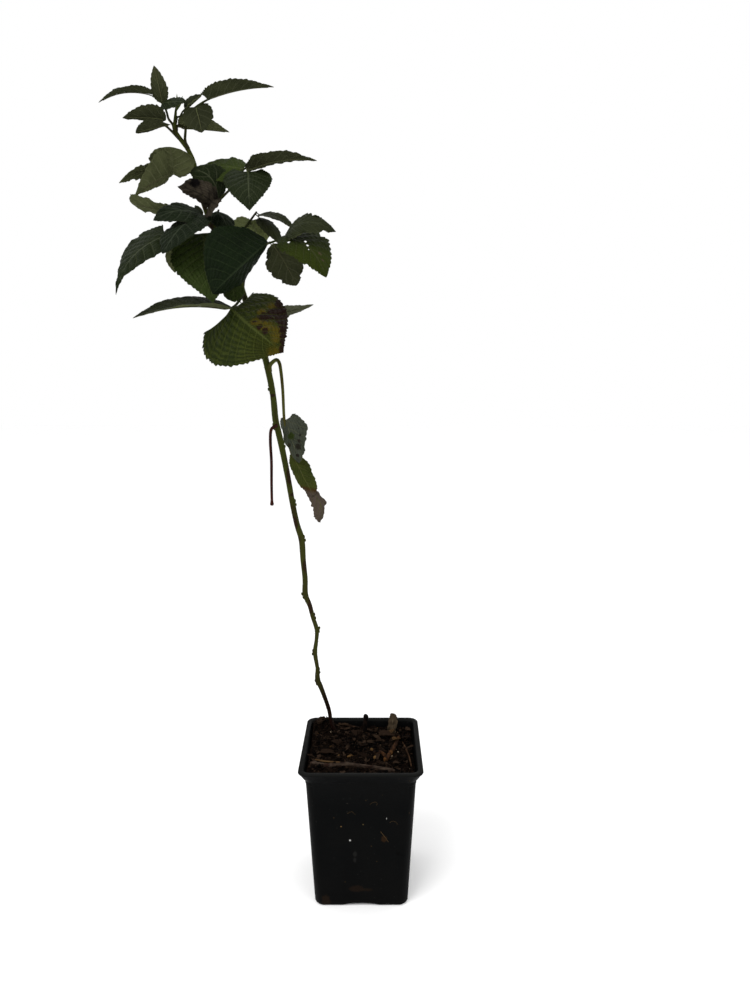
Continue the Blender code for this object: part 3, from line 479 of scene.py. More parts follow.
bm = bmesh.new()
for vert in bmesh.ops.create_grid(bm, x_segments=SOIL_CELLS, y_segments=SOIL_CELLS, size=1.0)["verts"]:
    x, y = in_pot(vert.co.x, vert.co.y, SOIL_PRESS)
    vert.co = (x, y, soil_top(x, y))
rim = {vert for edge in bm.edges if edge.is_boundary for vert in edge.verts}
ring = sorted(rim, key=lambda vert: math.atan2(vert.co.y, vert.co.x))
ring = grow_ring(bm, ring, [Vector((v.co.x / SOIL_PRESS, v.co.y / SOIL_PRESS, SOIL_BRIM)) for v in ring])
shrink = (inner_half(SOIL_LOW) - SOIL_GAP) / (inner_half(SOIL_BRIM) - SOIL_GAP)
ring = grow_ring(bm, ring, [Vector((v.co.x * shrink, v.co.y * shrink, SOIL_LOW)) for v in ring])
cap(bm, ring)
bmesh.ops.recalc_face_normals(bm, faces=bm.faces)

compost = Finish("moist_compost", Roughness=0.95)
grit = compost.noise(420, 6, 0.7)
lumps = compost.cells(520)
colour = compost.blend(compost.between(grit, 0.35, 0.7), (0.0006, 0.0003, 0.0002), (0.007, 0.0036, 0.002))
colour = compost.over(colour, compost.between(lumps, 0.7, 0.2), 0.5, (0.0045, 0.0023, 0.0013))
colour = compost.over(colour, compost.specks(900, 0.3, 0.05), 0.7, (0.04, 0.025, 0.013))
compost.finish(colour, height=compost.plus(grit, lumps), strength=0.9, depth=0.0016)
belongs(piece_from(bm, "compost_bed", compost.material, sharp=60), "compost", "soil")

# Crumbs, bark chips and roots
# The loose top of the compost: some three thousand crumbs, splinters of composted bark that lie at all
# angles, and hair roots. They are pressed into the surface and lie round the litter, not over it.

# Each twig or straw: its line as x, y and lift off the compost, and its radius at both ends, in millimetres.
LITTER = {
    "front_twig": ([(-45.5, -31, 1.3), (-30, -31.5, 1.2), (-14, -30, 1.2), (8, -33.5, 1.3), (30, -39, 1.6)],
                   2.07, 1.59),
    "pale_straw": ([(-42, -24, 0.9), (-31, -25, 0.9), (-19, -27, 0.9)], 0.9, 0.8),
    "bent_twig": ([(21.5, -24, 1.4), (30, 0, 2.0), (36, 28, 1.6)], 2.1, 1.5),
    "side_straw": ([(39, 18, 1.0), (43, -11, 1.0), (45, -33, 1.3)], 0.8, 0.7),
    "back_twig": ([(-24, 46, 1.0), (-12, 44.5, 1.0), (-3, 42, 0.9)], 1.1, 0.9),
    "short_twig": ([(-22, 36, 0.8), (-14, 40, 0.8)], 0.9, 0.7),
}
CRUMBS = 3200
BARK_CHIPS = 280
HAIR_ROOTS = 160
PALE_CRUMBS = 0.015
ROOT_JOINTS = 7


def litter_line(name, steps):
    """The route of one twig or straw on the compost."""
    points = [Vector((x * 0.001, y * 0.001, soil_height(x * 0.001, y * 0.001) + lift * 0.001))
              for x, y, lift in LITTER[name][0]]
    return smooth_route(points, steps)


kept_clear = [point for name in LITTER for point in litter_line(name, 6)]


def clear_of_litter(x, y, room):
    return all((point.x - x) ** 2 + (point.y - y) ** 2 > room ** 2 for point in kept_clear)


def take_in(bm, mesh):
    """Move a whole mesh into a piece in the making."""
    bm.from_mesh(mesh)
    bpy.data.meshes.remove(mesh)


def gathered(count, batch, make_one, seed, layers=("tone",)):
    """Many small shapes, made a batch at a time, because one great mesh is slow to add to."""
    random.seed(seed)
    whole = bmesh.new()
    for _ in range(count // batch):
        few = bmesh.new()
        for layer in layers:
            few.verts.layers.float.new(layer)
        for _ in range(batch):
            make_one(few)
        mesh = bpy.data.meshes.new("few")
        few.to_mesh(mesh)
        few.free()
        take_in(whole, mesh)
    return whole


def random_place(room):
    """A random place on the compost, clear of the litter."""
    while True:
        x, y = in_pot(random.uniform(-1, 1), random.uniform(-1, 1), 0.975)
        if clear_of_litter(x, y, room):
            return x, y


def tumble(few, verts, size, place, lean, tone):
    """Jitter, scale, turn and place one small shape, and give it its tone."""
    layer = few.verts.layers.float["tone"]
    turn = (Matrix.Rotation(random.uniform(0, math.tau), 3, "Z")
            @ Matrix.Rotation(random.uniform(-lean, lean), 3, "X")
            @ Matrix.Rotation(random.uniform(-lean, lean), 3, "Y"))
    for vert in verts:
        uneven = Vector([c * random.uniform(0.72, 1.28) for c in vert.co])
        vert.co = place + turn @ Vector((uneven.x * size.x, uneven.y * size.y, uneven.z * size.z))
        vert[layer] = tone


def crumb(few):
    size = 0.0006 + 0.0034 * random.random() ** 3.0
    x, y = random_place(0.001 + size * 0.6)
    verts = bmesh.ops.create_icosphere(few, subdivisions=2 if size > 0.0016 else 1, radius=0.5)["verts"]
    shape = Vector((size, size * random.uniform(0.6, 1), size * random.uniform(0.5, 0.9)))
    tone = random.random() ** 1.8 * 0.66 if random.random() < 1 - PALE_CRUMBS else random.uniform(0.8, 1.0)
    tumble(few, verts, shape, Vector((x, y, soil_top(x, y) + size * random.uniform(0.05, 0.32))), 3.0, tone)


def bark_chip(few):
    x, y = random_place(0.0028)
    others = set(few.verts)
    block = bmesh.ops.create_cube(few, size=1.0)["verts"]
    bmesh.ops.subdivide_edges(few, edges=list({e for v in block for e in v.link_edges}), cuts=1,
                              use_grid_fill=True)
    verts = [vert for vert in few.verts if vert not in others]
    long = random.uniform(0.003, 0.0095)
    shape = Vector((long, long * random.uniform(0.25, 0.6), random.uniform(0.0005, 0.0013)))
    tumble(few, verts, shape, Vector((x, y, soil_top(x, y) + random.uniform(0.0, 0.001))), 0.5,
           random.uniform(0.15, 0.78))


def hair_root(few):
    x, y = random_place(0.0006)
    heading = random.uniform(0, math.tau)
    ring = bmesh.ops.create_circle(few, segments=4, radius=random.uniform(0.0001, 0.0003))["verts"]
    cap(few, ring)
    shape = [vert.co.copy() for vert in ring]
    layer = few.verts.layers.float["tone"]
    tone = random.uniform(0.32, 0.72)
    lift = random.uniform(0.0003, 0.0014)
    stride = random.uniform(0.001, 0.0028)
    edge = inner_half(SOIL_BRIM) - 0.0012
    for k in range(ROOT_JOINTS):
        place = Vector((x, y, soil_top(x, y) + lift * math.sin(math.pi * (k + 0.5) / ROOT_JOINTS)))
        turn = Vector((math.cos(heading), math.sin(heading), 0.0)).to_track_quat("Z", "Y")
        if k:
            ring = grow_ring(few, ring, shape)
        for vert, offset in zip(ring, shape):
            vert.co = place + turn @ offset
            vert[layer] = tone
        heading += random.uniform(-0.5, 0.5)
        x = max(-edge, min(edge, x + math.cos(heading) * stride))
        y = max(-edge, min(edge, y + math.sin(heading) * stride))
    cap(few, ring)


def toned(name, colours, roughness, bump_scale, bump_depth):
    """A finish whose colour goes by each small piece's own tone."""
    made = Finish(name, Roughness=roughness)
    tone = made.add("Attribute", out="Fac", attribute_name="tone")
    colour = made.add("ValToRGB", [made.plus(tone, made.waver(0.18, bump_scale, 4))], out="Color")
    ramp = colour.node.color_ramp
    ramp.elements[0].color = (*colours[0][1], 1.0)
    ramp.elements[1].color = (*colours[-1][1], 1.0)
    for place, tint in colours[1:-1]:
        ramp.elements.new(place).color = (*tint, 1.0)
    return made.finish(colour, height=made.noise(bump_scale * 1.5, 4), strength=0.6, depth=bump_depth)


earth = toned("crumbs_and_bark", [
    (0.0, (0.0006, 0.0003, 0.0002)), (0.3, (0.0036, 0.0019, 0.0012)), (0.55, (0.011, 0.0062, 0.0038)),
    (0.75, (0.026, 0.016, 0.01)), (0.88, (0.085, 0.045, 0.013)), (1.0, (0.24, 0.2, 0.15)),
], 0.9, 1500, 0.0005)
belongs(piece_from(gathered(CRUMBS, 40, crumb, 11), "compost_crumbs", earth, sharp=75), "compost")
belongs(piece_from(gathered(BARK_CHIPS, 40, bark_chip, 12), "bark_chips", earth, sharp=75), "compost")
belongs(piece_from(gathered(HAIR_ROOTS, 40, hair_root, 13), "hair_roots", earth, sharp=75), "compost")

# Leaf litter
# Curled flakes of dead leaf and bark lie on the compost: the largest at the back right and the back left,
# where the heap reaches the rim. Each is thin, cupped and creased, and brown in a shade of its own.

NOISE_SEED = 6
SMALL_FLAKES = 70
FLAKE_THICKNESS = 0.0004
# The large flakes: x, y, length and width in millimetres, heading in degrees, curl, lean and tone.
FLAKES = [
    (24, 25, 17, 11, 20, 1.3, 0.3, 0.62), (15, 21, 10, 5, -35, 1.5, 0.3, 0.7),
    (33, 18, 13, 7, 60, 1.4, 0.4, 0.8), (28, 33, 9, 6, 10, 1.1, -0.6, 0.78),
    (-39, 40, 14, 9, 65, 1.5, 0.15, 0.6), (-42, 34, 10, 6, 95, 1.2, 0.6, 0.66),
    (-33, 46, 9, 5, -20, 1.5, 0.4, 0.55), (-31, -11, 13, 8, 15, 0.9, 0.15, 0.56),
    (5.5, -22, 8, 5, 70, 0.9, 0.2, 0.72), (42, 22, 11, 8, 80, 1.4, 0.4, 0.42),
    (-45, -23, 8, 3, 10, 1.8, 0.5, 0.58), (-42, -29, 7, 3, -50, 1.8, 0.4, 0.66),
    (-10, -16, 5, 3, 20, 0.8, 0.1, 0.84), (-19, 44, 9, 3, 5, 1.6, 0.1, 0.76),
    (-15, 38, 8, 3, 20, 1.6, 0.1, 0.74), (32, -29, 8, 4, 40, 1.2, 0.3, 0.66),
    (40, -26, 9, 4, 100, 1.2, 0.3, 0.62), (-8, 30, 9, 5, -60, 1.2, 0.3, 0.52),
    (8, 38, 8, 5, 15, 1.2, 0.4, 0.64), (-24, 10, 9, 6, -15, 1.0, 0.2, 0.5),
    (2, 5, 10, 6, 50, 1.0, 0.2, 0.46),
]


def flake(few, x, y, long, wide, heading, curl, lean, tone):
    """One cupped and creased flake; its place and size in millimetres."""
    x, y, long, wide = x * 0.001, y * 0.001, long * 0.001, wide * 0.001
    layer = few.verts.layers.float["tone"]
    turn = Matrix.Rotation(math.radians(heading), 3, "Z") @ Matrix.Rotation(lean, 3, "Y")
    place = Vector((x, y, soil_top(x, y) + 0.0012 + 0.3 * long * abs(math.sin(lean))))
    for vert in bmesh.ops.create_grid(few, x_segments=9, y_segments=6, size=1.0)["verts"]:
        ragged = 1 + 0.35 * noise.noise(Vector((vert.co.x * 2.2, vert.co.y * 2.2, x * 900)))
        waist = (1 - 0.4 * vert.co.x ** 2) * ragged
        around = wide / 2 / curl
        flat = Vector((vert.co.x * long / 2 * ragged, math.sin(vert.co.y * curl) * around * waist,
                       (1 - math.cos(vert.co.y * curl)) * around * waist))
        crease = noise.noise_vector((flat + place) * 240) * 0.001
        vert.co = place + turn @ (flat + crease)
        vert[layer] = tone + 0.05 * vert.co.x


noise.seed_set(NOISE_SEED)
bm = bmesh.new()
bm.verts.layers.float.new("tone")
for row in FLAKES:
    flake(bm, *row)
random.seed(14)
for _ in range(SMALL_FLAKES):
    x, y = random_place(0.0022)
    size = random.uniform(3.0, 7.5)
    flake(bm, x * 1000, y * 1000, size, size * random.uniform(0.35, 0.8), random.uniform(0, 360),
          random.uniform(0.7, 1.7), random.uniform(-0.5, 0.5), random.uniform(0.25, 0.74))
litter = piece_from(bm, "leaf_litter", earth, sharp=60)
wall = litter.modifiers.new("thickness", "SOLIDIFY")
wall.thickness = FLAKE_THICKNESS
settle(litter)
belongs(litter, "compost")

# Twigs and straws
# Bits of old cane, twig and straw lie half sunk in the compost: a long grey twig along the front, an
# orange-brown one with a fork at the right, a thin straw behind it, and short ones at the back.


def barked(name, light, dark, scale, grain=(1.0, 1.0, 1.0), blotch=None, roughness=0.85):
    """Dry bark or straw: two shades in streaks, with fine cracks."""
    made = Finish(name, Roughness=roughness)
    streak = made.noise(scale, 5, 0.65, at=made.stretched(*grain))
    colour = made.blend(made.between(streak, 0.35, 0.68), dark, light)
    if blotch:
        colour = made.over(colour, made.between(made.noise(170), 0.5, 0.66), 0.8, blotch)
    height = made.plus(streak, made.times(made.noise(scale * 4), 0.5))
    return made.finish(colour, height=height, strength=0.7, depth=0.0004)


KNOT_SWELL = 0.35
KNOT_LENGTH = 0.018
WORN_END = 0.55


def twig(name, material, knots=(), rough=0.22, sides=14):
    """One twig along its route: uneven, swollen at its knots, with worn ends."""
    _, start, end = LITTER[name]
    route = litter_line(name, 10)
    count = len(route)
    radii = []
    for i, place in enumerate(route):
        share = i / (count - 1)
        radius = start + (end - start) * share
        radius *= 1 + rough * noise.noise(place * 500) + sum(
            KNOT_SWELL * math.exp(-((share - knot) / KNOT_LENGTH) ** 2) for knot in knots)
        radii.append(radius * 0.001 * min(1.0, WORN_END + (1 - WORN_END) * min(i, count - 1 - i)))
    bm = bmesh.new()
    add_tube(bm, route, radii, sides)
    return piece_from(bm, name + "_bark", material)


def offshoot(bm, start, end, radii):
    """A side stump on a twig."""
    bend = mm(*start).lerp(mm(*end), 0.55) + Vector((0, 0, 0.0006))
    add_tube(bm, [mm(*start), bend, mm(*end)], [r * 0.001 for r in radii])


grey_bark = barked("grey_twig_bark", (0.044, 0.031, 0.022), (0.008, 0.0044, 0.0031), 420,
                   grain=(0.25, 1, 1), blotch=(0.015, 0.0058, 0.004))
belongs(twig("front_twig", grey_bark, knots=(0.07, 0.3, 0.52, 0.8)), "front_twig", "front_twig")

orange_bark = barked("orange_twig_bark", (0.034, 0.0145, 0.006), (0.0085, 0.0038, 0.0022), 380,
                     grain=(1, 0.3, 1), blotch=(0.066, 0.028, 0.0075))
bent = twig("bent_twig", orange_bark, knots=(0.05, 0.45, 0.62))
bm = bmesh.new()
bm.from_mesh(bent.data)
fork_root = litter_line("bent_twig", 10)[2] * 1000
offshoot(bm, fork_root, fork_root + Vector((-6.5, 9.5, 1.6)), (1.8, 1.5, 1.1))
offshoot(bm, fork_root + Vector((-4.0, 6.0, 1.2)), fork_root + Vector((-9.5, 6.5, 0.8)), (1.1, 0.9, 0.5))
bm.to_mesh(bent.data)
bm.free()
bent.data.shade_smooth()
belongs(bent, "bent_twig", "bent_twig")

pale_bark = barked("pale_straw_skin", (0.085, 0.05, 0.022), (0.028, 0.014, 0.006), 500, (0.15, 1, 1))
belongs(twig("pale_straw", pale_bark, rough=0.05, sides=10), "pale_straw", "pale_straw")
thin_bark = barked("side_straw_skin", (0.05, 0.026, 0.013), (0.015, 0.0075, 0.0038), 500, (1, 0.2, 1))
belongs(twig("side_straw", thin_bark, knots=(0.35,), rough=0.05, sides=10), "side_straw", "side_straw")
brown_bark = barked("brown_twig_bark", (0.032, 0.018, 0.011), (0.0075, 0.0038, 0.0023), 420, (0.3, 1, 1))
belongs(twig("back_twig", brown_bark, knots=(0.5,)), "back_twig", "back_twig")
belongs(twig("short_twig", brown_bark, knots=(0.2,)), "short_twig", "short_twig")

# Cut stub
# The stump of an earlier cane, cut off a centimetre or so above the compost. It has died back black, and
# its end has rounded into a knob.

STUB_ROUTE = [(2, 37, 112), (2.2, 37, 122), (2.5, 37, 131), (2.8, 37.5, 139), (3.6, 38, 145),
              (4.2, 38, 146.5)]
STUB_RADII = (2.0, 2.1, 2.2, 2.3, 2.6, 1.7)
STUB_STEPS = 6


def bark_radii(route, radii, steps, rough, scale):
    """Uneven radii along a smooth route, from one in millimetres for each point it goes through."""
    made = []
    for i, place in enumerate(route):
        low, part = divmod(i, steps)
        after = radii[min(low + 1, len(radii) - 1)]
        here = radii[low] + (after - radii[low]) * part / steps
        made.append(here * 0.001 * (1 + rough * noise.noise(place * scale)))
    return made


stub_route = smooth_route([mm(*point) for point in STUB_ROUTE], STUB_STEPS)
bm = bmesh.new()
add_tube(bm, stub_route, bark_radii(stub_route, STUB_RADII, STUB_STEPS, 0.14, 420), 16)
dead_bark = barked("dead_cane_bark", (0.007, 0.0042, 0.003), (0.0011, 0.0007, 0.0006), 330,
                   grain=(1, 1, 0.2), blotch=(0.009, 0.005, 0.0032), roughness=0.75)
belongs(piece_from(bm, "cut_cane_stub", dead_bark), "cut_stub", "cut_stub")

# Cane
# One raspberry cane, grown this summer: green with brown scars, dark red-brown and woody towards the
# compost. Its buds stand out beside the scars of old leaves, and fine soft prickles cover its lower part.

# Points of the cane and its radius at each, in millimetres.
CANE_ROUTE = [
    (-13.8, 36, 95, 2.25), (-21.8, 34, 116, 2.15), (-26.3, 33, 130, 2.05), (-30.2, 33, 141, 1.9),
    (-32.2, 34, 153, 1.9), (-35.5, 33, 165, 2), (-40, 33, 178, 2.3), (-43, 33, 186, 2.6),
    (-43, 32, 198, 1.8), (-45, 32, 213, 2.2), (-43.5, 32, 226, 1.85), (-43, 31, 237, 2.1),
    (-46.5, 31, 249, 2), (-49.2, 30, 261, 2.2), (-53.2, 30, 272, 2.7), (-53.2, 30, 287, 2.5),
    (-54.7, 30, 305, 2.6), (-55.7, 29, 325, 2.9), (-59.7, 28, 340, 2.6), (-63.7, 28, 361, 2.6),
    (-66.7, 27, 381, 2.6), (-70.7, 26, 405, 2.7), (-74.7, 26, 425, 2.8), (-77.2, 26, 437, 2.9),
    (-78.7, 25, 458, 2.7), (-82.7, 25, 481, 2.8), (-88.7, 24, 507, 2.9), (-97.4, 23, 532, 2.7),
    (-102.9, 22, 548, 2.7), (-106, 22, 562, 2.5), (-112, 21, 577, 2.5), (-120, 20, 592, 2.3),
    (-127.5, 20, 604, 2.2), (-131.5, 19, 614, 2), (-136.5, 18, 632, 1.9), (-139.5, 18, 651, 1.8),
    (-144, 17, 662, 1.85), (-149, 16.5, 669, 1.85), (-154, 16, 677, 1.75), (-153.5, 16, 686, 1.35),
    (-152.5, 17, 696, 0.75),
]
# Each bud: its height, its compass turn seen from above, and its length and radius in millimetres.
BUDS = [
    (0.184, 185, 3.6, 1.5), (0.214, 180, 3.4, 1.3), (0.237, 10, 4.4, 1.4), (0.25, 20, 3.8, 1.2),
    (0.272, 190, 4.2, 1.5), (0.326, 0, 4.6, 1.5), (0.36, 15, 4.4, 1.4), (0.414, 350, 4.0, 1.3),
    (0.431, 195, 4.6, 1.6), (0.466, 170, 2.4, 1.1), (0.195, 30, 3.0, 1.1),
]
BUD_SHAPE = ((0.0, 0.9), (0.25, 1.05), (0.5, 0.95), (0.7, 0.72), (0.85, 0.45), (0.95, 0.22), (1.0, 0.05))
BUD_RISE = 0.003
SCAR_DROP = 0.0022
TIP_LEAVES = [(-151, 15, 705), (-146, 14, 703)]
TIP_LEAF_RADII = (0.7, 0.9, 1.15, 1.35, 1.45, 1.35, 1.15, 0.85, 0.55, 0.3, 0.1)
CANE_STEPS = 4
PRICKLES = 420
PRICKLES_FROM = 0.134
PRICKLES_SPAN = 0.52
SCARS = [
    (-62, 26, 341, 6.5, (2.0, 0.6, 0.9)), (-62, 25, 368, 2.8, (0.8, 0.4, 1.5)),
    (-65.5, 25, 386, 7.5, (3.0, 0.6, 0.8)), (-79, 24, 458, 2.2, (0.7, 0.6, 1.4)),
    (-67, 26, 402, 3.0, (2.0, 1, 1)), (-53, 27, 300, 5.0, (2.4, 1, 0.8)),
    (-88, 23, 512, 3.0, (2.0, 1, 1)), (-48, 28, 262, 6.0, (2.4, 1, 0.8)),
]

cane_points = [mm(*row[:3]) for row in CANE_ROUTE]


def cane_at(height):
    """Centre, upward direction and radius of the cane at a height above the pot's base."""
    for i in range(len(cane_points) - 1):
        low, high = cane_points[i], cane_points[i + 1]
        if low.z <= height <= high.z or i == len(cane_points) - 2:
            share = (height - low.z) / (high.z - low.z)
            radius = CANE_ROUTE[i][3] + (CANE_ROUTE[i + 1][3] - CANE_ROUTE[i][3]) * share
            return low.lerp(high, share), (high - low).normalized(), radius * 0.001


def off_cane(direction, turn):
    """The unit vector that leaves the cane square to it, towards a compass turn seen from above."""
    flat = Vector((math.cos(math.radians(turn)), math.sin(math.radians(turn)), 0.0))
    return (flat - direction * flat.dot(direction)).normalized()


cane_route = smooth_route(cane_points, CANE_STEPS)
bm = bmesh.new()
add_tube(bm, cane_route, bark_radii(cane_route, [row[3] for row in CANE_ROUTE], CANE_STEPS, 0.05, 160), 24)
for height, turn, length, radius in BUDS:
    centre, direction, width = cane_at(height)
    out = off_cane(direction, turn)
    base = centre + out * width * 0.6
    tip = centre + out * length * 0.00072 + direction * BUD_RISE
    add_tube(bm, [base.lerp(tip, share) for share, _ in BUD_SHAPE],
             [radius * 0.00105 * wide for _, wide in BUD_SHAPE], 12)
    scar = centre - direction * SCAR_DROP
    add_tube(bm, [scar + out * width * 0.5, scar + out * (width + 0.0007), scar + out * (width + 0.0009)],
             [0.0018, 0.0013, 0.0007], 12)
for tip in TIP_LEAVES:
    root = cane_points[-1] - Vector((0, 0, 0.003))
    bend = root.lerp(mm(*tip), 0.5) + Vector((0.0005, -0.001, 0))
    add_tube(bm, smooth_route([root, bend, mm(*tip)], 5), [r * 0.001 for r in TIP_LEAF_RADII], 10, 1)

cane_skin = Finish("cane_skin", Roughness=0.5)
height_up = cane_skin.along("Z")
rings_of_tone = cane_skin.noise(55, 4, 0.6, at=cane_skin.stretched(1, 1, 0.35))
stripes = cane_skin.noise(900, 4, 0.6, at=cane_skin.stretched(1, 1, 0.05))
green = cane_skin.blend(stripes, (0.016, 0.0215, 0.0028), (0.04, 0.0465, 0.008))
woody = cane_skin.blend(stripes, (0.0022, 0.0008, 0.0006), (0.009, 0.003, 0.002))
uneven = cane_skin.maths("MULTIPLY_ADD", rings_of_tone, 0.12, -0.06)
wooden = cane_skin.between(cane_skin.plus(height_up, uneven), 0.235, 0.165)
colour = cane_skin.blend(wooden, green, woody)
flush = cane_skin.between(cane_skin.plus(height_up, cane_skin.times(uneven, 3.0)), 0.4, 0.2)
flush = cane_skin.times(flush, cane_skin.less(1.0, wooden))
colour = cane_skin.over(colour, flush, 0.55, (0.015, 0.0095, 0.003))
patches = cane_skin.noise(110, 3, 0.6, at=cane_skin.stretched(1, 1, 0.25))
colour = cane_skin.over(colour, cane_skin.between(patches, 0.56, 0.66), 0.6, (0.014, 0.007, 0.0035))
for x, y, z, size, reach in SCARS:
    colour = cane_skin.over(colour, cane_skin.blot(x, y, z, size, reach=reach), 0.85, (0.014, 0.0058, 0.0034))
pores = cane_skin.specks(620, 0.16, 0.22)
colour = cane_skin.over(colour, pores, 0.5, (0.045, 0.036, 0.018))
cane_skin.finish(colour, height=cane_skin.plus(stripes, cane_skin.times(pores, 0.5)), strength=0.35,
                 depth=0.0004)
tip_green = Finish("folded_tip_leaf", Roughness=0.6)
tip_green.finish(tip_green.blend(tip_green.noise(600), (0.04, 0.055, 0.015), (0.085, 0.105, 0.035)),
                 height=tip_green.noise(900), strength=0.4, depth=0.0004)
belongs(piece_from(bm, "raspberry_cane", cane_skin.material, tip_green.material), "green_bark", "cane")


def prickle(few):
    centre, direction, width = cane_at(PRICKLES_FROM + PRICKLES_SPAN * random.random() ** 1.3)
    out = off_cane(direction, random.uniform(0, 360))
    lean = (out - direction * 0.35).normalized()
    length = random.uniform(0.0005, 0.0011)
    turn = lean.to_track_quat("Z", "Y").to_matrix().to_4x4()
    bmesh.ops.create_cone(few, segments=5, radius1=0.00016, radius2=0.00002, depth=length,
                          matrix=Matrix.Translation(centre + out * width + lean * length * 0.42) @ turn)


hair = Finish("prickle", Roughness=0.6)
hair.finish(hair.blend(hair.noise(300, 2), (0.016, 0.007, 0.005), (0.034, 0.026, 0.01)))
prickles = piece_from(gathered(PRICKLES, 30, prickle, 21, layers=()), "cane_prickles", hair.material)
belongs(prickles, "green_bark")

# Living leaves
# Each leaf has a grooved stalk that starts on the cane and one to five toothed leaflets. A leaflet is a thin
# blade, pleated between its side veins: dark green above, and grey with felt and raised veins beneath.

BLADE_THICKNESS = 0.00035
TOOTH_SPACING = 2.5
TOOTH_PROFILE = (0.0, 0.4, 0.8, 1.0)
TOOTH_STEPS = len(TOOTH_PROFILE)
SMALL_TOOTH = 0.55
TOOTH_LEAN = 0.35
TOOTH_LIMIT = 0.16
MARGIN_START = 0.72
VEIN_SPACING = 7.5
VEIN_CLIMB = 1.7
MOST_SHADES = 5
STALK_ROOT = 0.0045
STALK_FOOT = [1.55 - 0.08 * i for i in range(7)]
RIB_STEPS = 12
LEAF_SHINE = 0.04


def blade_width(t, head, tail):
    """Half width of an egg-shaped leaflet along its midrib, as a share of the widest."""
    widest = head / (head + tail)
    return (t / widest) ** head * ((1.0 - t) / (1.0 - widest)) ** tail


def blade_surface(base, tip, width, facing, arch=0.0, fold=0.0, fold_right=None, twist=0.0, curl=0.0,
                  heart=0.0, crumple=0.0, sway=0.0, head=0.5, tail=0.9, left=1.0, right=1.0):
    """A function from (along, across) to a point of one leaflet's middle surface.

    Along runs from 0 at the base to 1 at the tip, and across from -1 at the left margin to 1 at the right
    one, seen with the upper face towards the eye and the tip up. Lengths are in millimetres and angles in
    degrees. fold raises the margins, arch lifts the midrib's middle, curl bends the margins, twist turns the
    tip, heart sets the basal lobes back, sway bends the midrib and crumple is the size of the creases.
    """
    start, end = mm(*base), mm(*tip)
    chord = end - start
    ahead = chord.normalized()
    up = Vector(facing)
    up = (up - ahead * up.dot(ahead)).normalized()
    beside = ahead.cross(up)
    folds = (math.radians(fold), math.radians(fold if fold_right is None else fold_right))

    def surface(along, across):
        bow = 4 * along * (1 - along)
        spine = start + chord * along + up * arch * 0.001 * bow + beside * sway * 0.001 * bow
        turn = Matrix.Rotation(math.radians(twist) * along, 3, ahead)
        side, rise = turn @ beside, turn @ up
        half = width * 0.0005 * blade_width(along, head, tail) * abs(across) * (left if across < 0 else right)
        lean = folds[0] if across < 0 else folds[1]
        offset = side * half * math.cos(lean) * (1 if across > 0 else -1) + rise * half * math.sin(lean)
        offset += rise * curl * 0.001 * across * across * blade_width(along, head, tail)
        offset -= ahead * heart * 0.001 * abs(across) ** 1.5 * (1 - along) ** 4 * min(along * 50, 1)
        place = spine + offset
        if crumple:
            loose = (abs(across) * 0.7 + 0.3) * min(along * 4, 1)
            place += noise.noise_vector(place * 90.0) * crumple * 0.001 * loose
        return place

    return surface


def blade(base, tip, width, facing, **form):
    """What one leaflet is like: its ends and width in millimetres, the way it faces, and its form."""
    return dict(base=base, tip=tip, width=width, facing=facing, **form)


def step_up(value, low, high):
    share = max(0.0, min(1.0, (value - low) / (high - low)))
    return share * share * (3 - 2 * share)


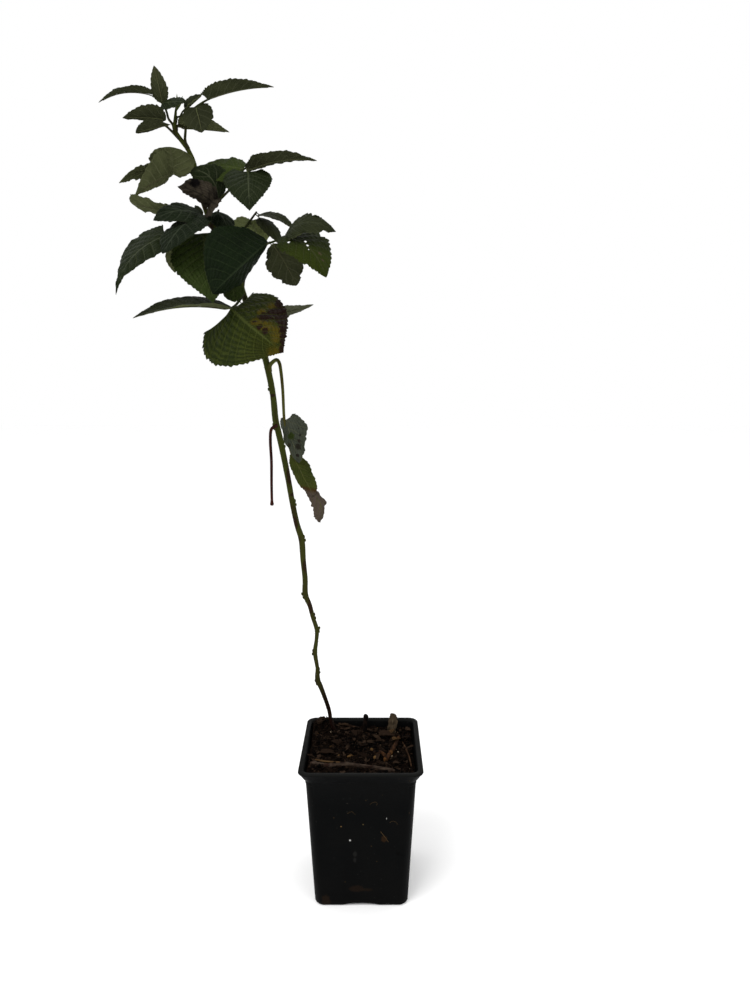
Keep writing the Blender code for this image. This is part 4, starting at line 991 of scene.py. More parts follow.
def add_sheet(bm, shade=0, tooth=1.1, quilt=0.55, wrinkle=0.0, holes=(), torn=0.0, **shape):
    """One leaflet as a single sheet, saw-edged twice over and pleated between its veins.

    tooth is the depth of its teeth, quilt of its pleats and wrinkle of its fine creases, in millimetres. torn
    eats into its margin, holes are at (along, across, radius), and shade is its finish among the leaf's own.
    """
    surface = blade_surface(**shape)
    length = (Vector(shape["tip"]) - Vector(shape["base"])).length
    teeth = max(7, round(length / TOOTH_SPACING))
    veins = max(4, round(length / VEIN_SPACING))
    rows = teeth * TOOTH_STEPS
    columns = 2 * max(6, round(shape["width"] * 0.36))
    head, tail = shape.get("head", 0.5), shape.get("tail", 0.9)
    verts = bmesh.ops.create_grid(bm, x_segments=columns, y_segments=rows, size=1.0)["verts"]
    uv = bm.loops.layers.uv.get("UVMap") or bm.loops.layers.uv.new("UVMap")
    lift, ends = {}, []
    for vert in verts:
        across, share = vert.co.x, (vert.co.y + 1) / 2
        along = share - 0.11 * math.sin(math.tau * share)
        step = round(share * rows)
        margin = step_up(abs(across), MARGIN_START, 1.0)
        half = shape["width"] * 0.5 * blade_width(min(max(along, 1e-6), 1 - 1e-6), head, tail)
        rise = TOOTH_PROFILE[step % TOOTH_STEPS] * (1.0 if step // TOOTH_STEPS % 3 == 1 else SMALL_TOOTH)
        reach = 1 + margin * min(TOOTH_LIMIT, tooth / max(half, 1.0)) * (rise - 0.45)
        if torn:
            reach -= margin * torn * max(0.0, noise.noise(Vector((along * 9, across * 2, length))))
        ahead = min(1.0, along + margin * TOOTH_LEAN * rise / rows * min(1.0, 4 * (1 - along)))
        phase = along * veins - VEIN_CLIMB * abs(across)
        valley = abs(phase - round(phase)) * 2
        pillow = (1 - (1 - valley) ** 2) * min(1.0, abs(across) * 7) * (1 - 0.45 * margin)
        vert.co = surface(ahead, across * reach)
        fade = min(1.0, along * 9) * min(1.0, (1 - along) * 7)
        ripple = 0.35 * margin * math.sin(along * veins * 5.1 + across * 2)
        wave = shape["width"] * 0.045 * step_up(abs(across), 0.3, 1.0) * noise.noise(
            Vector((along * 5.5, across * 1.6, length * 0.37)))
        creases = wrinkle * noise.noise(vert.co * 240) + 0.16 * noise.noise(vert.co * 520)
        lift[vert] = (quilt * (pillow - 0.5) + ripple * quilt + wave + creases) * 0.001 * fade
        for loop in vert.link_loops:
            loop[uv].uv = (across * 0.5 + 0.5, along * veins)
        if step in (0, rows):
            ends.append(vert)
    faces = list({face for vert in verts for face in vert.link_faces})
    for face in faces:
        face.material_index = 2 * shade
        face.normal_update()
    for vert in verts:
        vert.normal_update()
    for vert, size in lift.items():
        vert.co += vert.normal * size
    gone = []
    for along, across, radius in holes:
        centre = surface(along, across)
        gone += [face for face in faces if (face.calc_center_median() - centre).length < radius * 0.001]
    bmesh.ops.delete(bm, geom=list(set(gone)), context="FACES")
    bmesh.ops.remove_doubles(bm, verts=[vert for vert in ends if vert.is_valid], dist=1e-6)
    return surface


def thickened(sheets):
    """The sheets as thin blades with an upper and an under face."""
    item = piece_from(sheets, "sheets")
    for _ in range(2 * MOST_SHADES):
        item.data.materials.append(None)
    wall = item.modifiers.new("thickness", "SOLIDIFY")
    wall.thickness = BLADE_THICKNESS
    wall.offset = 0.0
    wall.material_offset = 1
    wall.material_offset_rim = 1
    settle(item)
    mesh = item.data
    bpy.data.objects.remove(item, do_unlink=True)
    return mesh


def add_leaf_frame(bm, height, turn, route, shapes, surfaces, stalk, rachis, material_index, rib_index):
    """The stalk from inside the cane's bark, the side stalks, and a raised midrib under every leaflet."""
    centre, direction, radius = cane_at(height)
    out = off_cane(direction, turn)
    foot, _, _ = cane_at(height - STALK_ROOT)
    points = [foot + out * radius * 0.2, centre + out * (radius + 0.0004), *[mm(*p) for p in route]]
    lines = [smooth_route(points, 5)]
    radii = taper(len(lines[0]), *stalk)
    for i, swelling in enumerate(STALK_FOOT):
        radii[i] *= swelling
    add_tube(bm, lines[0], radii, 12, material_index)
    for branch in rachis:
        lines.append(smooth_route([mm(*p) for p in branch], 5))
        add_tube(bm, lines[-1], taper(len(lines[-1]), 0.9, 0.6), 10, material_index)
    for shape, surface in zip(shapes, surfaces):
        base = mm(*shape["base"])
        root = min((point for line in lines for point in line), key=lambda point: (point - base).length)
        thick = 0.0003 + 0.000005 * shape["width"]
        proud = 0.00012 + 0.0005 * shape.get("quilt", 0.55)
        radii = [thick * (1 - k / (RIB_STEPS + 1)) ** 0.8 + 0.00008 for k in range(1, RIB_STEPS)]
        spine = []
        for k, radius in enumerate(radii, 1):
            along = k / RIB_STEPS
            ahead = surface(along + 0.02, 0.0) - surface(along - 0.02, 0.0)
            aside = surface(along, 0.05) - surface(along, -0.05)
            spine.append(surface(along, 0.0) + ahead.cross(aside).normalized() * (radius + proud))
        if (root - spine[0]).length > 0.0004:
            spine.insert(0, root)
            radii.insert(0, radii[0])
        add_tube(bm, spine, radii, 8, rib_index)


def leaf(name, node, slot, height, turn, route, blades, shades, stalk_finish, stalk=(1.5, 0.8), rachis=()):
    """One whole leaf: leaflets, midribs and stalks in one piece."""
    sheets = bmesh.new()
    surfaces = [add_sheet(sheets, **shape) for shape in blades]
    bm = bmesh.new()
    take_in(bm, thickened(sheets))
    materials = [finish for shade in shades for finish in shade]
    add_leaf_frame(bm, height, turn, route, blades, surfaces, stalk, rachis, len(materials),
                   len(materials) + 1)
    belongs(piece_from(bm, name, *materials, stalk_finish, rib_skin, sharp=55), slot, node)


def veins_of(made, cross_veins=7.0):
    """Where a leaflet's veins run, from 0 beside them to 1 on them: side veins, midrib, net and cross veins.

    Last comes the way from one side vein to the next, 0 on a vein and a half midway.
    """
    layout = made.add("SeparateXYZ", [made.add("UVMap", uv_map="UVMap")]).node.outputs
    across = made.maths("ABSOLUTE", made.maths("MULTIPLY_ADD", layout["X"], 2.0, -1.0))
    phase = made.less(made.plus(layout["Y"], made.waver(0.3, 120, 2)), made.times(across, VEIN_CLIMB))
    gap = made.maths("PINGPONG", phase, 0.5)
    side = made.times(made.between(gap, 0.115, 0.015), made.between(across, 1.0, 0.45, 0.35, 1.0))
    midrib = made.between(across, 0.055, 0.012)
    net = made.between(made.cells(430, "DISTANCE_TO_EDGE"), 0.1, 0.01)
    ladder = made.maths("MULTIPLY_ADD", across, cross_veins, made.waver(0.9, 200, 2))
    rungs = made.times(made.between(made.maths("PINGPONG", ladder, 0.5), 0.0, 0.4),
                       made.between(across, 0.03, 0.12))
    return side, midrib, net, rungs, gap


def upper_face(name, dark, light, vein, ageing=None, gloss=0.52, spots=(), cross_veins=7.0, pucker_relief_and_shade=0.35):
    """The green upper face: painted shade in the pleats along its veins and painted light on the pillows
    between them, with thin paler veins and a leathery surface.
    """
    made = Finish(name, LEAF_SHINE)
    side, midrib, net, rungs, gap = veins_of(made, cross_veins)
    colour = made.blend(made.between(made.noise(70, 4, 0.6), 0.3, 0.7), dark, light)
    # Painted light on the pillows between the side veins, leaving painted shade in the grooves along them.
    colour = made.over(colour, made.between(gap, 0.16, 0.42), 0.3, light)
    colour = made.over(colour, net, 0.22, vein)
    # Painted shade in the grooves along the cross veins.
    colour = made.over(colour, made.less(1.0, rungs), pucker_relief_and_shade, dark)
    if ageing:
        colour = ageing(made, colour)
    colour = made.over(colour, side, 0.5, vein)
    colour = made.over(colour, midrib, 0.75, vein)
    for x, y, z, size, tint in spots:
        colour = made.blend(made.blot(x, y, z, size), colour, tint)
    roughness = made.maths("MULTIPLY_ADD", made.noise(260), 0.22, gloss - 0.1)
    height = made.less(made.times(made.noise(900), 0.5), made.times(net, 0.8))
    height = made.less(height, made.times(side, 0.7))
    height = made.plus(height, made.times(rungs, pucker_relief_and_shade * 2.4))
    return made.finish(colour, roughness, height, strength=0.6, depth=0.0009)


def under_face(name, dark, light, vein, spots=()):
    """The grey felted under face, with raised paler veins and painted shade along them."""
    made = Finish(name, 0.01, Roughness=0.9)
    side, midrib, net, _, gap = veins_of(made)
    felt = made.noise(1400, 3, 0.7)
    colour = made.blend(made.between(made.noise(60, 4, 0.6), 0.3, 0.7), dark, light)
    # Painted shade along the raised side veins.
    colour = made.over(colour, made.between(gap, 0.2, 0.02), 0.35, dark)
    colour = made.over(colour, felt, 0.22, light)
    colour = made.over(colour, net, 0.22, vein)
    colour = made.over(colour, side, 0.55, vein)
    colour = made.over(colour, midrib, 0.8, vein)
    for x, y, z, size, tint in spots:
        colour = made.blend(made.blot(x, y, z, size), colour, tint)
    height = made.plus(felt, made.plus(made.times(side, 1.2), made.times(net, 0.9)))
    return made.finish(colour, height=height, strength=0.5, depth=0.0005)


def stalk_skin(name, green, red):
    made = Finish(name, Roughness=0.6)
    stripe = made.noise(900)
    colour = made.over(green, made.between(made.noise(70), 0.35, 0.65), 0.7, red)
    colour = made.over(colour, stripe, 0.3, tuple(c * 1.6 for c in green))
    return made.finish(colour, height=stripe, strength=0.4, depth=0.0003)


# The shade, the light tone and the veins of each green face, and of each felted one.
(green_painted_shade, dark_green, shaded_green, blue_green, mid_green, grey_green, olive, lit_green, soft_green) = [
    upper_face("leaf_" + name, *tones) for name, *tones in [
        # A darker copy of the dark green: painted shade on the large front leaflet.
        ("green_painted_shade", (0.0017, 0.0044, 0.0009), (0.0034, 0.008, 0.0016), (0.015, 0.023, 0.009)),
        ("dark_green", (0.0055, 0.0092, 0.0024), (0.01, 0.015, 0.0041), (0.043, 0.05, 0.026)),
        # A lighter copy of the dark green: painted light on leaflets that lie in shade under others.
        ("shaded_green", (0.015, 0.0255, 0.0045), (0.025, 0.039, 0.0075), (0.048, 0.06, 0.02)),
        ("blue_green", (0.0038, 0.007, 0.0025), (0.0069, 0.0112, 0.0042), (0.038, 0.046, 0.029)),
        ("mid_green", (0.011, 0.0145, 0.005), (0.018, 0.0215, 0.008), (0.035, 0.04, 0.02)),
        ("grey_green", (0.015, 0.0185, 0.0085), (0.023, 0.027, 0.013), (0.04, 0.044, 0.025)),
        ("olive", (0.018, 0.029, 0.0042), (0.029, 0.041, 0.0066), (0.047, 0.059, 0.018)),
        # Painted light: pale as if the light shone through the leaflet.
        ("lit_through", (0.1, 0.12, 0.04), (0.14, 0.16, 0.06), (0.19, 0.21, 0.1)),
        ("soft_green", (0.017, 0.021, 0.0085), (0.026, 0.03, 0.0125), (0.042, 0.047, 0.022)),
    ]]
grey_felt, dark_felt, shaded_felt, felt_painted_backlight = [
    under_face("felt_" + name, *tones) for name, *tones in [
        ("grey", (0.04, 0.045, 0.019), (0.064, 0.071, 0.03), (0.105, 0.112, 0.056)),
        ("dark", (0.019, 0.0215, 0.01), (0.031, 0.0345, 0.0155), (0.056, 0.059, 0.033)),
        ("shaded", (0.0125, 0.0145, 0.0068), (0.02, 0.0225, 0.0105), (0.042, 0.045, 0.025)),
        # Painted light: a pale under face, as if the light shone through it.
        ("pale", (0.09, 0.105, 0.04), (0.125, 0.14, 0.06), (0.17, 0.185, 0.09)),
    ]]
green_stalk = stalk_skin("leaf_stalk_green", (0.016, 0.022, 0.006), (0.016, 0.01, 0.005))
rib_skin = stalk_skin("leaf_midrib", (0.05, 0.056, 0.024), (0.042, 0.033, 0.018))
red_stalk = stalk_skin("leaf_stalk_red", (0.013, 0.0115, 0.005), (0.016, 0.006, 0.0045))


# Yellow rims and brown blots of the turning leaf: place, radius, and stretch across and up, in millimetres.
RIMS = [
    (-84, -22, 519, 4.3, 0.9, 1.3), (-76, -24, 515, 5.59, 1.0, 1.2), (-67, -28, 507, 4.73, 1.0, 0.6),
    (-66, -43, 493, 5.59, 0.8, 1.0), (-82, -8, 528, 3.44, 1.0, 1.0), (-75, 8, 533, 3.87, 1.0, 1.0),
]
BROWNS = [
    (-68, 11, 537, 5.5, 1.0, 1.0), (-64, 4, 530, 6.0, 1.0, 1.0), (-71, -3, 528, 6.5, 0.9, 1.1),
    (-78, -13, 524, 4.6, 0.8, 1.1), (-65, -10, 521, 5.5, 1.1, 0.9), (-62, -22, 514, 4.6, 1.2, 0.7),
    (-61, -34, 505, 4.0, 1.2, 0.6), (-60, -45, 496, 4.2, 1.0, 0.8), (-86, -26, 519.5, 1.8, 1.0, 1.6),
    (-81, -28, 515, 2.6, 1.0, 1.1), (-76.5, -31, 511.5, 2.8, 1.1, 0.9), (-99, -40, 504, 1.1, 1, 1),
    (-69, -43, 486, 2.6, 0.5, 1.6), (-82, -44, 484, 3.0, 0.45, 1.7),
]


def turning(made, colour):
    """Green at the left, yellow and brown towards the right."""
    share = made.between(made.plus(made.along("X"), made.waver(0.05, 75, 4)), -0.108, -0.062)
    colour = made.over(colour, share, 0.5, (0.024, 0.0245, 0.0016))
    for blots, soft, amount, paint in ((RIMS, 0.5, 0.55, (0.078, 0.052, 0.0025)),
                                       (BROWNS, 0.22, 0.95, (0.01, 0.0034, 0.0022))):
        for x, y, z, size, wide, tall in blots:
            colour = made.over(colour, made.blot(x, y, z, size, 0.9, soft, (wide, 0.3, tall)), amount, paint)
    return colour


def paling(made, colour):
    """Yellow-green towards the tip."""
    share = made.between(made.plus(made.along("Z"), made.waver(0.024, 90, 4)), 0.592, 0.566)
    return made.over(colour, share, 0.85, (0.0195, 0.028, 0.002))


turning_leaf = upper_face("leaf_turning", (0.0095, 0.015, 0.0019), (0.0275, 0.036, 0.005),
                          (0.048, 0.058, 0.012), turning, cross_veins=9.0, pucker_relief_and_shade=0.85)
paling_leaf = upper_face("leaf_paling", (0.0085, 0.013, 0.0028), (0.015, 0.021, 0.0045),
                         (0.032, 0.036, 0.013), paling, spots=[
    (-38.5, -17, 586.5, 1.6, (0.01, 0.004, 0.003)), (-33.0, -20, 572, 2.2, (0.06, 0.042, 0.024)),
    (-30.5, -21, 567, 1.8, (0.045, 0.032, 0.018)), (-57.0, -14, 588, 1.0, (0.09, 0.085, 0.055))])
withered_felt = under_face("felt_withered", (0.034, 0.038, 0.022), (0.056, 0.06, 0.036),
                           (0.085, 0.088, 0.055), [(-46, -4, 535, 5.5, (0.018, 0.009, 0.006)),
                                                   (-41, -4, 534, 3.0, (0.07, 0.058, 0.045))])

# Lowest leaf
# A long narrow leaflet to the left, a broad heart-shaped one in front that is turning yellow and brown, and
# a small one to the right that shows its grey under face.

leaf("lowest_leaf", "leaf_01", "leaf_green", 0.545, 262,
     [(-103, 13, 541), (-105, 2, 535), (-107, -9, 531), (-104, -13, 529)], [
    blade((-106, -8, 530), (-185, -24, 522), 36, (0, -0.2, 1), arch=6, fold=16, twist=-12, tooth=0.5,
          quilt=0.5),
    blade((-107, -11, 531), (-60, -46, 494), 94, (-0.42, -0.87, 0.18), shade=1, arch=4, fold=-56,
          fold_right=-2, heart=15, curl=-2, head=0.28, tail=1.1, left=0.98, tooth=2.0, quilt=1.1),
    blade((-99, 14, 529), (-41, 20, 536.5), 17, (0, 0.5, 0.8), shade=2, arch=-4, fold=6, tooth=0.8,
          quilt=0.35),
], [(mid_green, grey_felt), (turning_leaf, grey_felt), (mid_green, withered_felt)], green_stalk)

leaf("small_round_leaf", "leaf_02", "leaf_green", 0.571, 200,
     [(-116, 12, 567), (-112, 4, 557), (-107.5, 0, 549)], [
    blade((-107, -1, 550), (-104, -9, 536), 18, (0, -0.85, 0.5), curl=-1, heart=3, tooth=0.6, quilt=0.35),
], [(shaded_green, dark_felt)], red_stalk, stalk=(1.1, 0.6))

# Middle leaves
# The broad dark leaflets round the middle of the crown, with those behind them painted pale, as if the light
# shone through them.

leaf("large_right_leaf", "leaf_03", "leaf_green", 0.556, 20,
     [(-98, 14, 566), (-92, 8, 574), (-80, -4, 581), (-74, -8, 584)], [
    blade((-75.5, -9, 584), (-113, -54, 538.5), 70, (0.12, -0.97, -0.15), arch=5, fold=-64, fold_right=-8,
          heart=1.5, left=0.6, head=0.8, tooth=1.3, quilt=0.7),
    blade((-72, -6, 583), (-54, 6, 551), 34, (0.2, 0.9, 0.5), shade=1, arch=3, fold=-8, tooth=1.4,
          torn=0.85, quilt=0.35, head=0.7, tail=0.8),
    blade((-72, -4, 582), (-67, 12, 556), 16, (0, 0.9, 0.3), shade=1, arch=3, fold=-8),
    blade((-65, -9, 588), (-27, -24, 554), 38, (0.2, -0.8, 0.7), shade=2, arch=10, fold=-10, curl=-2,
          sway=-3, left=1.45, right=0.85, tooth=1.6, quilt=0.8, torn=0.3,
          holes=[(0.22, 0.35, 0.9), (0.4, -0.12, 0.7), (0.48, -0.02, 0.8), (0.55, 0.1, 0.7)]),
    blade((-61, -8, 590), (-19, -20, 590), 27, (0, -0.75, 0.65), shade=3, arch=11, fold=-8, tooth=1.8,
          quilt=0.7, torn=0.55),
], [(green_painted_shade, dark_felt), (mid_green, dark_felt), (paling_leaf, dark_felt), (mid_green, grey_felt)],
     green_stalk,
     rachis=[[(-78, -6, 582), (-82, -8, 584), (-85, -14, 583)],
             [(-76, -7, 583), (-66, -9, 586), (-60, -9, 589)]])

leaf("leaf_behind", "leaf_04", "leaf_green", 0.585, 60,
     [(-111, 30, 592), (-101, 35, 603), (-95, 38, 612), (-91, 38, 617)], [
    blade((-94, 38, 606), (-117, 31, 599), 24, (0, -0.8, 0.6), fold=8, quilt=0.4),
    blade((-95, 38, 610), (-89, 44, 588), 30, (0, -0.95, 0.2), fold=-6, quilt=0.4),
    blade((-89, 38, 612), (-69, 28, 587), 17, (0.5, -0.75, 0.5), shade=1, arch=4, fold=-14, quilt=0.4),
    blade((-90, 38, 614), (-57, 26, 600), 16, (0.1, -0.5, 0.9), shade=1, arch=5, fold=4, quilt=0.4),
], [(lit_green, felt_painted_backlight), (soft_green, grey_felt)], green_stalk)

leaf("hanging_leaf", "leaf_05", "leaf_green", 0.592, 235, [(-127, 9, 591), (-131, 2, 588), (-132, -2, 585)], [
    blade((-130, -2, 592), (-117, -34, 533), 60, (0.1, -0.85, 0.4), arch=4, fold=-14, heart=5, tooth=1.5,
          quilt=0.8, head=0.5, tail=1.15),
    blade((-154.5, -4, 581.5), (-152.5, -10, 559.5), 15, (0.2, 1, 0.1), shade=1, fold=-6, tooth=0.6,
          quilt=0.35),
], [(shaded_green, dark_felt), (olive, felt_painted_backlight)], red_stalk, stalk=(1.4, 0.8))

leaf("broad_left_leaf", "leaf_06", "leaf_green", 0.602, 225,
     [(-131, 10, 603), (-131.5, 4, 606), (-133, -1, 607), (-146, -6, 601), (-156, -12, 592)], [
    blade((-155.5, -13, 589.5), (-191, -44, 538.5), 56, (-0.35, -0.8, 0.4), arch=5, fold=-10, twist=18,
          heart=11, sway=9, head=0.38, tail=1.4, left=0.75, tooth=1.4, quilt=1.0),
    blade((-133, 0, 608.5), (-190.5, 3, 618), 25, (-0.05, 0.35, 0.93), shade=1, arch=-3, fold=8, head=1.2,
          tail=0.35, torn=0.6, quilt=0.3),
    blade((-131, -2, 607), (-164.5, -24, 598), 31, (0, -0.75, 0.7), shade=2, arch=6, fold=-8, heart=3,
          quilt=0.6),
    blade((-131, -4, 606), (-152, -47, 569), 37, (-0.3, -0.75, 0.55), shade=2, arch=5, fold=-10, heart=4,
          quilt=0.9),
    blade((-131, 2, 606), (-138, 8, 616), 7, (0, -1, 0.2), shade=1, fold=30, tooth=0.4, quilt=0.3),
], [(dark_green, dark_felt), (grey_green, grey_felt), (blue_green, dark_felt)], red_stalk)

leaf("puckered_leaf", "leaf_08", "leaf_green", 0.606, 300, [(-121, 10, 608), (-118, 6, 612)], [
    blade((-120, 7, 611), (-107, -6, 588), 22, (0.4, -0.8, 0.6), arch=5, fold=-20, quilt=1.0, wrinkle=0.6),
], [(blue_green, dark_felt)], red_stalk, stalk=(1.1, 0.8))

# Upper leaves
# Thinner-stalked leaves under the tip. Most are above the eye and show their under faces.

leaf("upper_middle_leaf", "leaf_07", "leaf_green", 0.611, 335,
     [(-124, 13, 614), (-118, 9, 620), (-103, 3, 632), (-97, 4, 642), (-93, 4, 645)], [
    blade((-92, 3, 641.5), (-85.5, -36, 603), 44, (0.1, -0.85, 0.5), arch=5, fold=-10, heart=8, left=0.88,
          right=0.95, head=0.34, tail=1.0, quilt=0.7),
    blade((-94, 6, 643), (-35, 0, 649), 27, (0, 0.12, 1), shade=1, arch=5, fold=12, head=0.36, quilt=0.7,
          wrinkle=0.6, torn=0.15),
    blade((-96.5, 7, 644.5), (-136, 22, 650), 34, (0.05, -0.8, 0.6), shade=2, arch=2, fold=-6, right=0.8,
          head=0.4, quilt=0.45),
    blade((-118, 9, 620), (-141.5, 6, 643.5), 29, (-0.3, -0.8, 0.5), arch=7, fold=-10, sway=7, quilt=0.5),
], [(dark_green, dark_felt), (grey_green, dark_felt), (olive, grey_felt)], green_stalk, stalk=(1.4, 0.7))

leaf("upper_left_leaf", "leaf_09", "leaf_green", 0.648, 215,
     [(-144, 13, 643), (-150, 10, 641), (-156, 6, 643)], [
    blade((-155, 6, 640.5), (-193.5, -14, 628.5), 18, (-0.1, 0.5, 0.85), arch=5, fold=-6, sway=-3,
          torn=0.5, tooth=1.8, quilt=0.35),
    blade((-158, 4, 639.5), (-176, -32, 614.5), 27, (-0.3, 0.75, 0.6), arch=2, fold=-6, head=0.3, tail=1.1,
          left=1.65, right=0.4, quilt=0.35),
    blade((-154, 5, 639.5), (-153, -8, 657.5), 37, (0, 1, 0.2), arch=2, fold=-5, head=0.55, tail=0.55,
          heart=3, quilt=0.35),
], [(grey_green, grey_felt)], red_stalk)

leaf("upper_right_leaf", "leaf_10", "leaf_green", 0.667, 340,
     [(-145, 14, 675), (-142.5, 10, 683), (-136, 4, 689), (-126, -2, 693), (-118, -6, 695)], [
    blade((-122, -6, 694), (-66.5, -20, 698), 22.5, (0, 0.4, 0.9), arch=3.5, fold=66, fold_right=4,
          heart=4, head=0.4, quilt=0.35),
    blade((-132.5, 0, 690), (-127.5, -4, 669.5), 26, (0, 1, 0.2), shade=1, arch=2, fold=-6, heart=2,
          head=0.4, quilt=0.35),
], [(mid_green, dark_felt), (mid_green, shaded_felt)], green_stalk, stalk=(1.3, 0.7))

leaf("folded_left_leaf", "leaf_11", "leaf_green", 0.6755, 200, [(-160, 13, 679), (-163, 9, 680)], [
    blade((-159, 8, 683), (-188.5, -12, 678), 23, (0.05, 0.65, 0.75), arch=2, fold=4, right=0.35,
          quilt=0.35),
    blade((-155, 6, 678.5), (-178, -14, 666.5), 17, (0, 0.7, 0.7), arch=1, fold=-4, head=1.2, tail=0.55,
          right=0.25, quilt=0.35),
], [(mid_green, dark_felt)], green_stalk, stalk=(1.2, 0.8))

leaf("leaf_right_of_tip", "leaf_12", "leaf_green", 0.681, 30, [(-147, 19, 681), (-142, 20, 680)], [
    blade((-152, 20, 680.5), (-108.5, 14, 675), 28, (0.1, 0.6, 0.75), arch=1, fold=60, fold_right=0,
          head=0.45, quilt=0.35),
    blade((-144, 20, 680), (-128, 42, 686), 22, (0.1, -0.2, 1), arch=3, fold=-8),
], [(mid_green, grey_felt)], green_stalk, stalk=(1.1, 0.8))

leaf("topmost_leaf", "leaf_13", "leaf_green", 0.6815, 180,
     [(-159, 16, 686), (-160.5, 15.5, 692), (-163, 15, 697), (-167, 15, 701), (-171, 14, 703)], [
    blade((-170.5, 14, 704), (-209.5, -4, 692), 19, (0, 0.12, 1), arch=5, fold=4, fold_right=50, head=0.35,
          quilt=0.35),
    blade((-163, 15, 698), (-167, 8, 724), 14, (-0.2, 1, 0.2), fold=16, arch=-2, quilt=0.4),
    blade((-163, 13, 697), (-138.5, -6, 692), 15, (0, -0.85, 0.5), shade=1, arch=1, fold=-10, tooth=1.4),
], [(mid_green, dark_felt), (dark_green, dark_felt)], green_stalk, stalk=(1.1, 0.7))

leaf("pleated_young_leaf", "young_leaf", "leaf_green", 0.687, 335,
     [(-148, 10, 686), (-145, 6, 688), (-142, 5, 690.5)], [
    blade((-142.5, 5, 690), (-127.5, 3, 700.5), 11, (-0.4, -0.8, 0.6), fold=35, quilt=0.7, tooth=0.5),
], [(grey_green, grey_felt)], green_stalk, stalk=(0.9, 0.6))

# Dead leaves
# Two leaves have died on the plant. The upper one is brown, dry and folded over in front of the cane. The
# low one hangs straight down: a grey leaflet with dark spots, then a green one with a brown, creased end.

dried = upper_face("leaf_dried", (0.006, 0.0047, 0.0034), (0.04, 0.033, 0.0225), (0.003, 0.0025, 0.002),
                   gloss=0.8, spots=[(-130, -24, 627, 4.0, (0.002, 0.0015, 0.0015))])
dried_under = under_face("leaf_dried_under", (0.009, 0.007, 0.005), (0.038, 0.031, 0.022),
                         (0.006, 0.004, 0.003))
spotted = upper_face("leaf_spotted_grey", (0.021, 0.025, 0.017), (0.044, 0.049, 0.036), (0.07, 0.073, 0.042),
                     gloss=0.75, spots=[
    (-54, -5, 431, 1.3, (0.01, 0.009, 0.007)), (-52, -5, 425, 1.1, (0.01, 0.009, 0.007)),
    (-60, -2, 424, 3.2, (0.016, 0.024, 0.004)), (-54, -4, 415, 2.8, (0.012, 0.011, 0.007)),
    (-53, -4, 420, 1.8, (0.014, 0.012, 0.008)), (-55, -3, 407, 1.8, (0.012, 0.01, 0.007)),
    (-62, -2, 416, 1.8, (0.018, 0.017, 0.01)), (-61, -3, 433, 1.6, (0.022, 0.024, 0.012))])


def dying(made, colour):
    """Green at the top of the leaflet, through a rusty line, to grey-brown at the creased end."""
    level = made.plus(made.along("Z"), made.times(made.along("X"), 0.33))
    level = made.plus(level, made.waver(0.006, 160))
    colour = made.blend(made.between(level, 0.365, 0.3615), colour, (0.035, 0.017, 0.004))
    return made.blend(made.between(level, 0.3625, 0.3585), colour, (0.058, 0.044, 0.034))


half_dead = upper_face("leaf_half_dead", (0.018, 0.025, 0.004), (0.037, 0.044, 0.007),
                       (0.055, 0.056, 0.016), dying, gloss=0.7)
yellow_stalk = stalk_skin("leaf_stalk_yellowing", (0.042, 0.046, 0.008), (0.026, 0.016, 0.006))

leaf("dried_upper_leaf", "dead_leaf_upper", "dead_leaf", 0.619, 275,
     [(-131, 8, 619), (-125, 0, 617), (-120, -5, 616)], [
    blade((-118, -5, 613), (-144, -24, 624), 26, (-0.1, -0.9, -0.3), arch=5, fold=-20, crumple=3, sway=4,
          left=0.6, wrinkle=1.4, quilt=0.7, torn=0.3),
    blade((-121, -5, 618), (-119, -22, 601.5), 21, (-0.5, -0.9, 0.1), arch=2, fold=-24, crumple=2,
          wrinkle=1.2, quilt=0.6, torn=0.2),
], [(dried, dried_under)], red_stalk, stalk=(1.1, 0.8))

leaf("hanging_dead_leaf", "dead_leaf_low", "dead_leaf", 0.484, 330,
     [(-74.5, 16, 489), (-71, 11, 487), (-69.2, 8, 480), (-67.6, 6, 463), (-66.4, 2, 438), (-64.2, 0, 423),
      (-60.5, 1, 408)], [
    blade((-64.5, 2, 438), (-53, -2, 400.5), 34, (-0.2, -1, 0), arch=2, fold=12, crumple=2.5, right=0.42,
          heart=4, head=0.4, wrinkle=0.6, quilt=0.6, tooth=0.8, torn=0.2),
    blade((-60.5, 3, 409), (-41.5, 0, 371.5), 20, (0.3, -1, 0.1), shade=1, arch=3, fold=-16, crumple=1.6,
          sway=1, head=0.5, tail=0.5, right=0.72, wrinkle=0.9, quilt=0.7, tooth=0.8),
    blade((-51, 2, 380.5), (-35.8, 0, 346.5), 16, (0.3, -1, 0.1), shade=1, arch=2, fold=-24, crumple=2.4,
          twist=-30, sway=-6.5, head=0.9, tail=0.55, wrinkle=1.8, quilt=0.5, tooth=0.8, torn=0.4),
], [(spotted, grey_felt), (half_dead, dried_under)], yellow_stalk, stalk=(1.9, 1.0))

# Bare stalk
# The dark red stalk of a leaf that has fallen hangs beside the cane, with a knob where the leaf broke off.

BARE_STALK = [(-80, 17, 428), (-80.6, 14.5, 417), (-80, 14, 400), (-80.3, 13.5, 380), (-80.3, 13, 363),
              (-80.3, 13, 360)]
KNOB = (0.0016, 0.0014, 0.5)

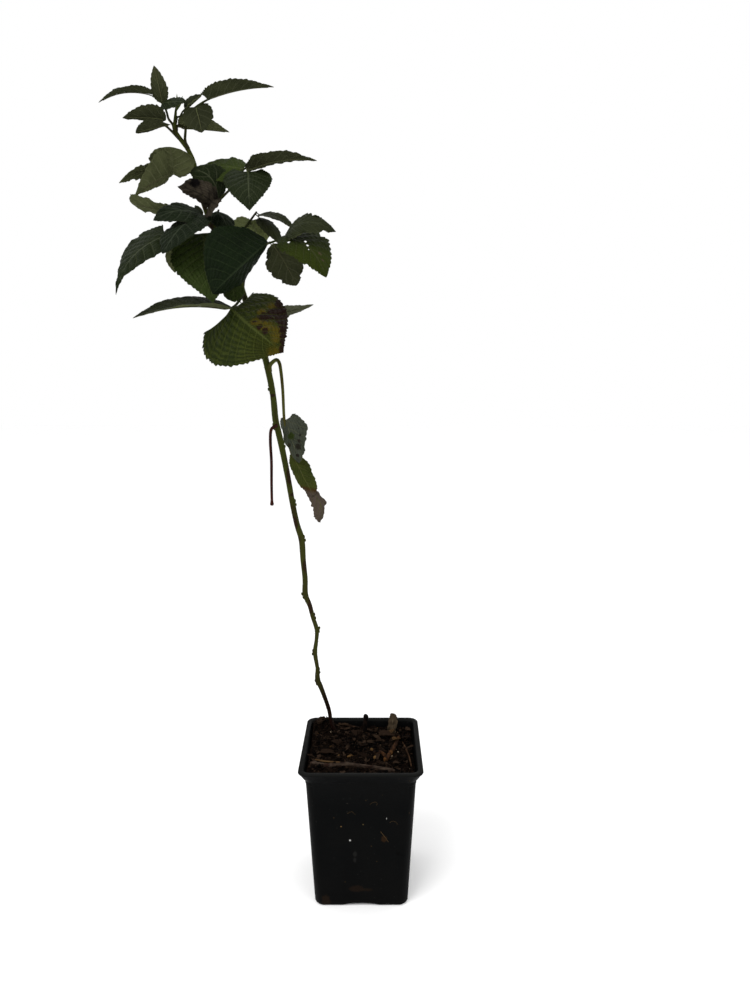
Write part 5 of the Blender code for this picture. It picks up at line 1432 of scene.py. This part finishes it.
centre, direction, radius = cane_at(0.431)
out = off_cane(direction, 262)
route = smooth_route([centre + out * radius * 0.4, centre + out * (radius + 0.0012),
                      *[mm(*point) for point in BARE_STALK]], 5)
radii = taper(len(route), 1.5, 1.15)
for i, place in enumerate(route):
    radii[i] *= 1 + KNOB[2] * math.exp(-(((place - route[-1]).length - KNOB[0]) / KNOB[1]) ** 2)
radii[-1] *= 0.45
bm = bmesh.new()
add_tube(bm, route, radii, 12)
dead_stalk_skin = barked("dead_stalk_skin", (0.034, 0.009, 0.0062), (0.01, 0.0028, 0.0022), 500,
                         grain=(1, 1, 0.15), roughness=0.6)
belongs(piece_from(bm, "bare_leaf_stalk", dead_stalk_skin), "dead_stalk", "dead_stalk")

# Dried scrap
# A curled scrap of an old leaf stands up out of the compost at the back right, pale and crumpled.

sheets = bmesh.new()
add_sheet(sheets, base=(27.2, 36.6, 121.5), tip=(30.5, 40, 146), width=10, facing=(0, -1, 0.3), fold=-30,
          arch=2.5, head=0.5, tail=0.3, crumple=2.2, tooth=0.6, quilt=0.9, wrinkle=1.6, torn=0.3)
bm = bmesh.new()
take_in(bm, thickened(sheets))
scrap = upper_face("scrap_dry", (0.02, 0.0135, 0.008), (0.06, 0.043, 0.026), (0.085, 0.064, 0.04),
                   gloss=0.85)
scrap_under = under_face("scrap_dry_under", (0.018, 0.012, 0.007), (0.055, 0.04, 0.024),
                         (0.08, 0.058, 0.036))
belongs(piece_from(bm, "curled_scrap", scrap, scrap_under, sharp=55), "dried_scrap", "dried_scrap")

# Floor, light and camera
# A plain white sweep under soft studio light, seen from a little above the pot as in the photograph.

FLOOR_SIZE = 6.0
LIGHTS = [("key_light", (-0.9, -1.1, 1.9), 1.3, 26.0), ("fill_light", (1.3, -0.9, 0.9), 1.5, 7.0)]
LIT_PLACE = Vector((-0.04, 0.0, 0.35))
EYE = (0.0125, -0.652, 0.48)
LOOK_DOWN = 9.8
LENS = 27.0
FILM_WIDTH = 36.0

bm = bmesh.new()
bmesh.ops.create_grid(bm, x_segments=2, y_segments=2, size=FLOOR_SIZE)
floor_paint = Finish("white_floor", Roughness=0.9)
floor_paint.finish(floor_paint.blend(floor_paint.noise(3, 3), (0.985, 0.985, 0.985), (1.0, 1.0, 1.0)))
floor = piece_from(bm, "floor", floor_paint.material)
floor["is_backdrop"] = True

world = bpy.data.worlds.new("studio")
bpy.context.scene.world = world
world.use_nodes = True
world.node_tree.nodes["Background"].inputs["Color"].default_value = (1.0, 1.0, 1.0, 1.0)
world.node_tree.nodes["Background"].inputs["Strength"].default_value = 1.0
for name, place, size, power in LIGHTS:
    light = bpy.data.lights.new(name, "AREA")
    light.size = size
    light.energy = power
    lamp = bpy.data.objects.new(name, light)
    bpy.context.scene.collection.objects.link(lamp)
    lamp.location = place
    lamp.rotation_euler = (LIT_PLACE - Vector(place)).to_track_quat("-Z", "Y").to_euler()

camera = bpy.data.cameras.new("camera")
camera.lens = LENS
camera.sensor_width = FILM_WIDTH
viewer = bpy.data.objects.new("camera", camera)
bpy.context.scene.collection.objects.link(viewer)
viewer.location = EYE
viewer.rotation_euler = (math.radians(90 - LOOK_DOWN), 0.0, 0.0)
bpy.context.scene.camera = viewer
bpy.context.scene.view_settings.view_transform = "Standard"

size = {"cad": [list(corner) for corner in cad_box], "visual": [list(corner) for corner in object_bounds()]}
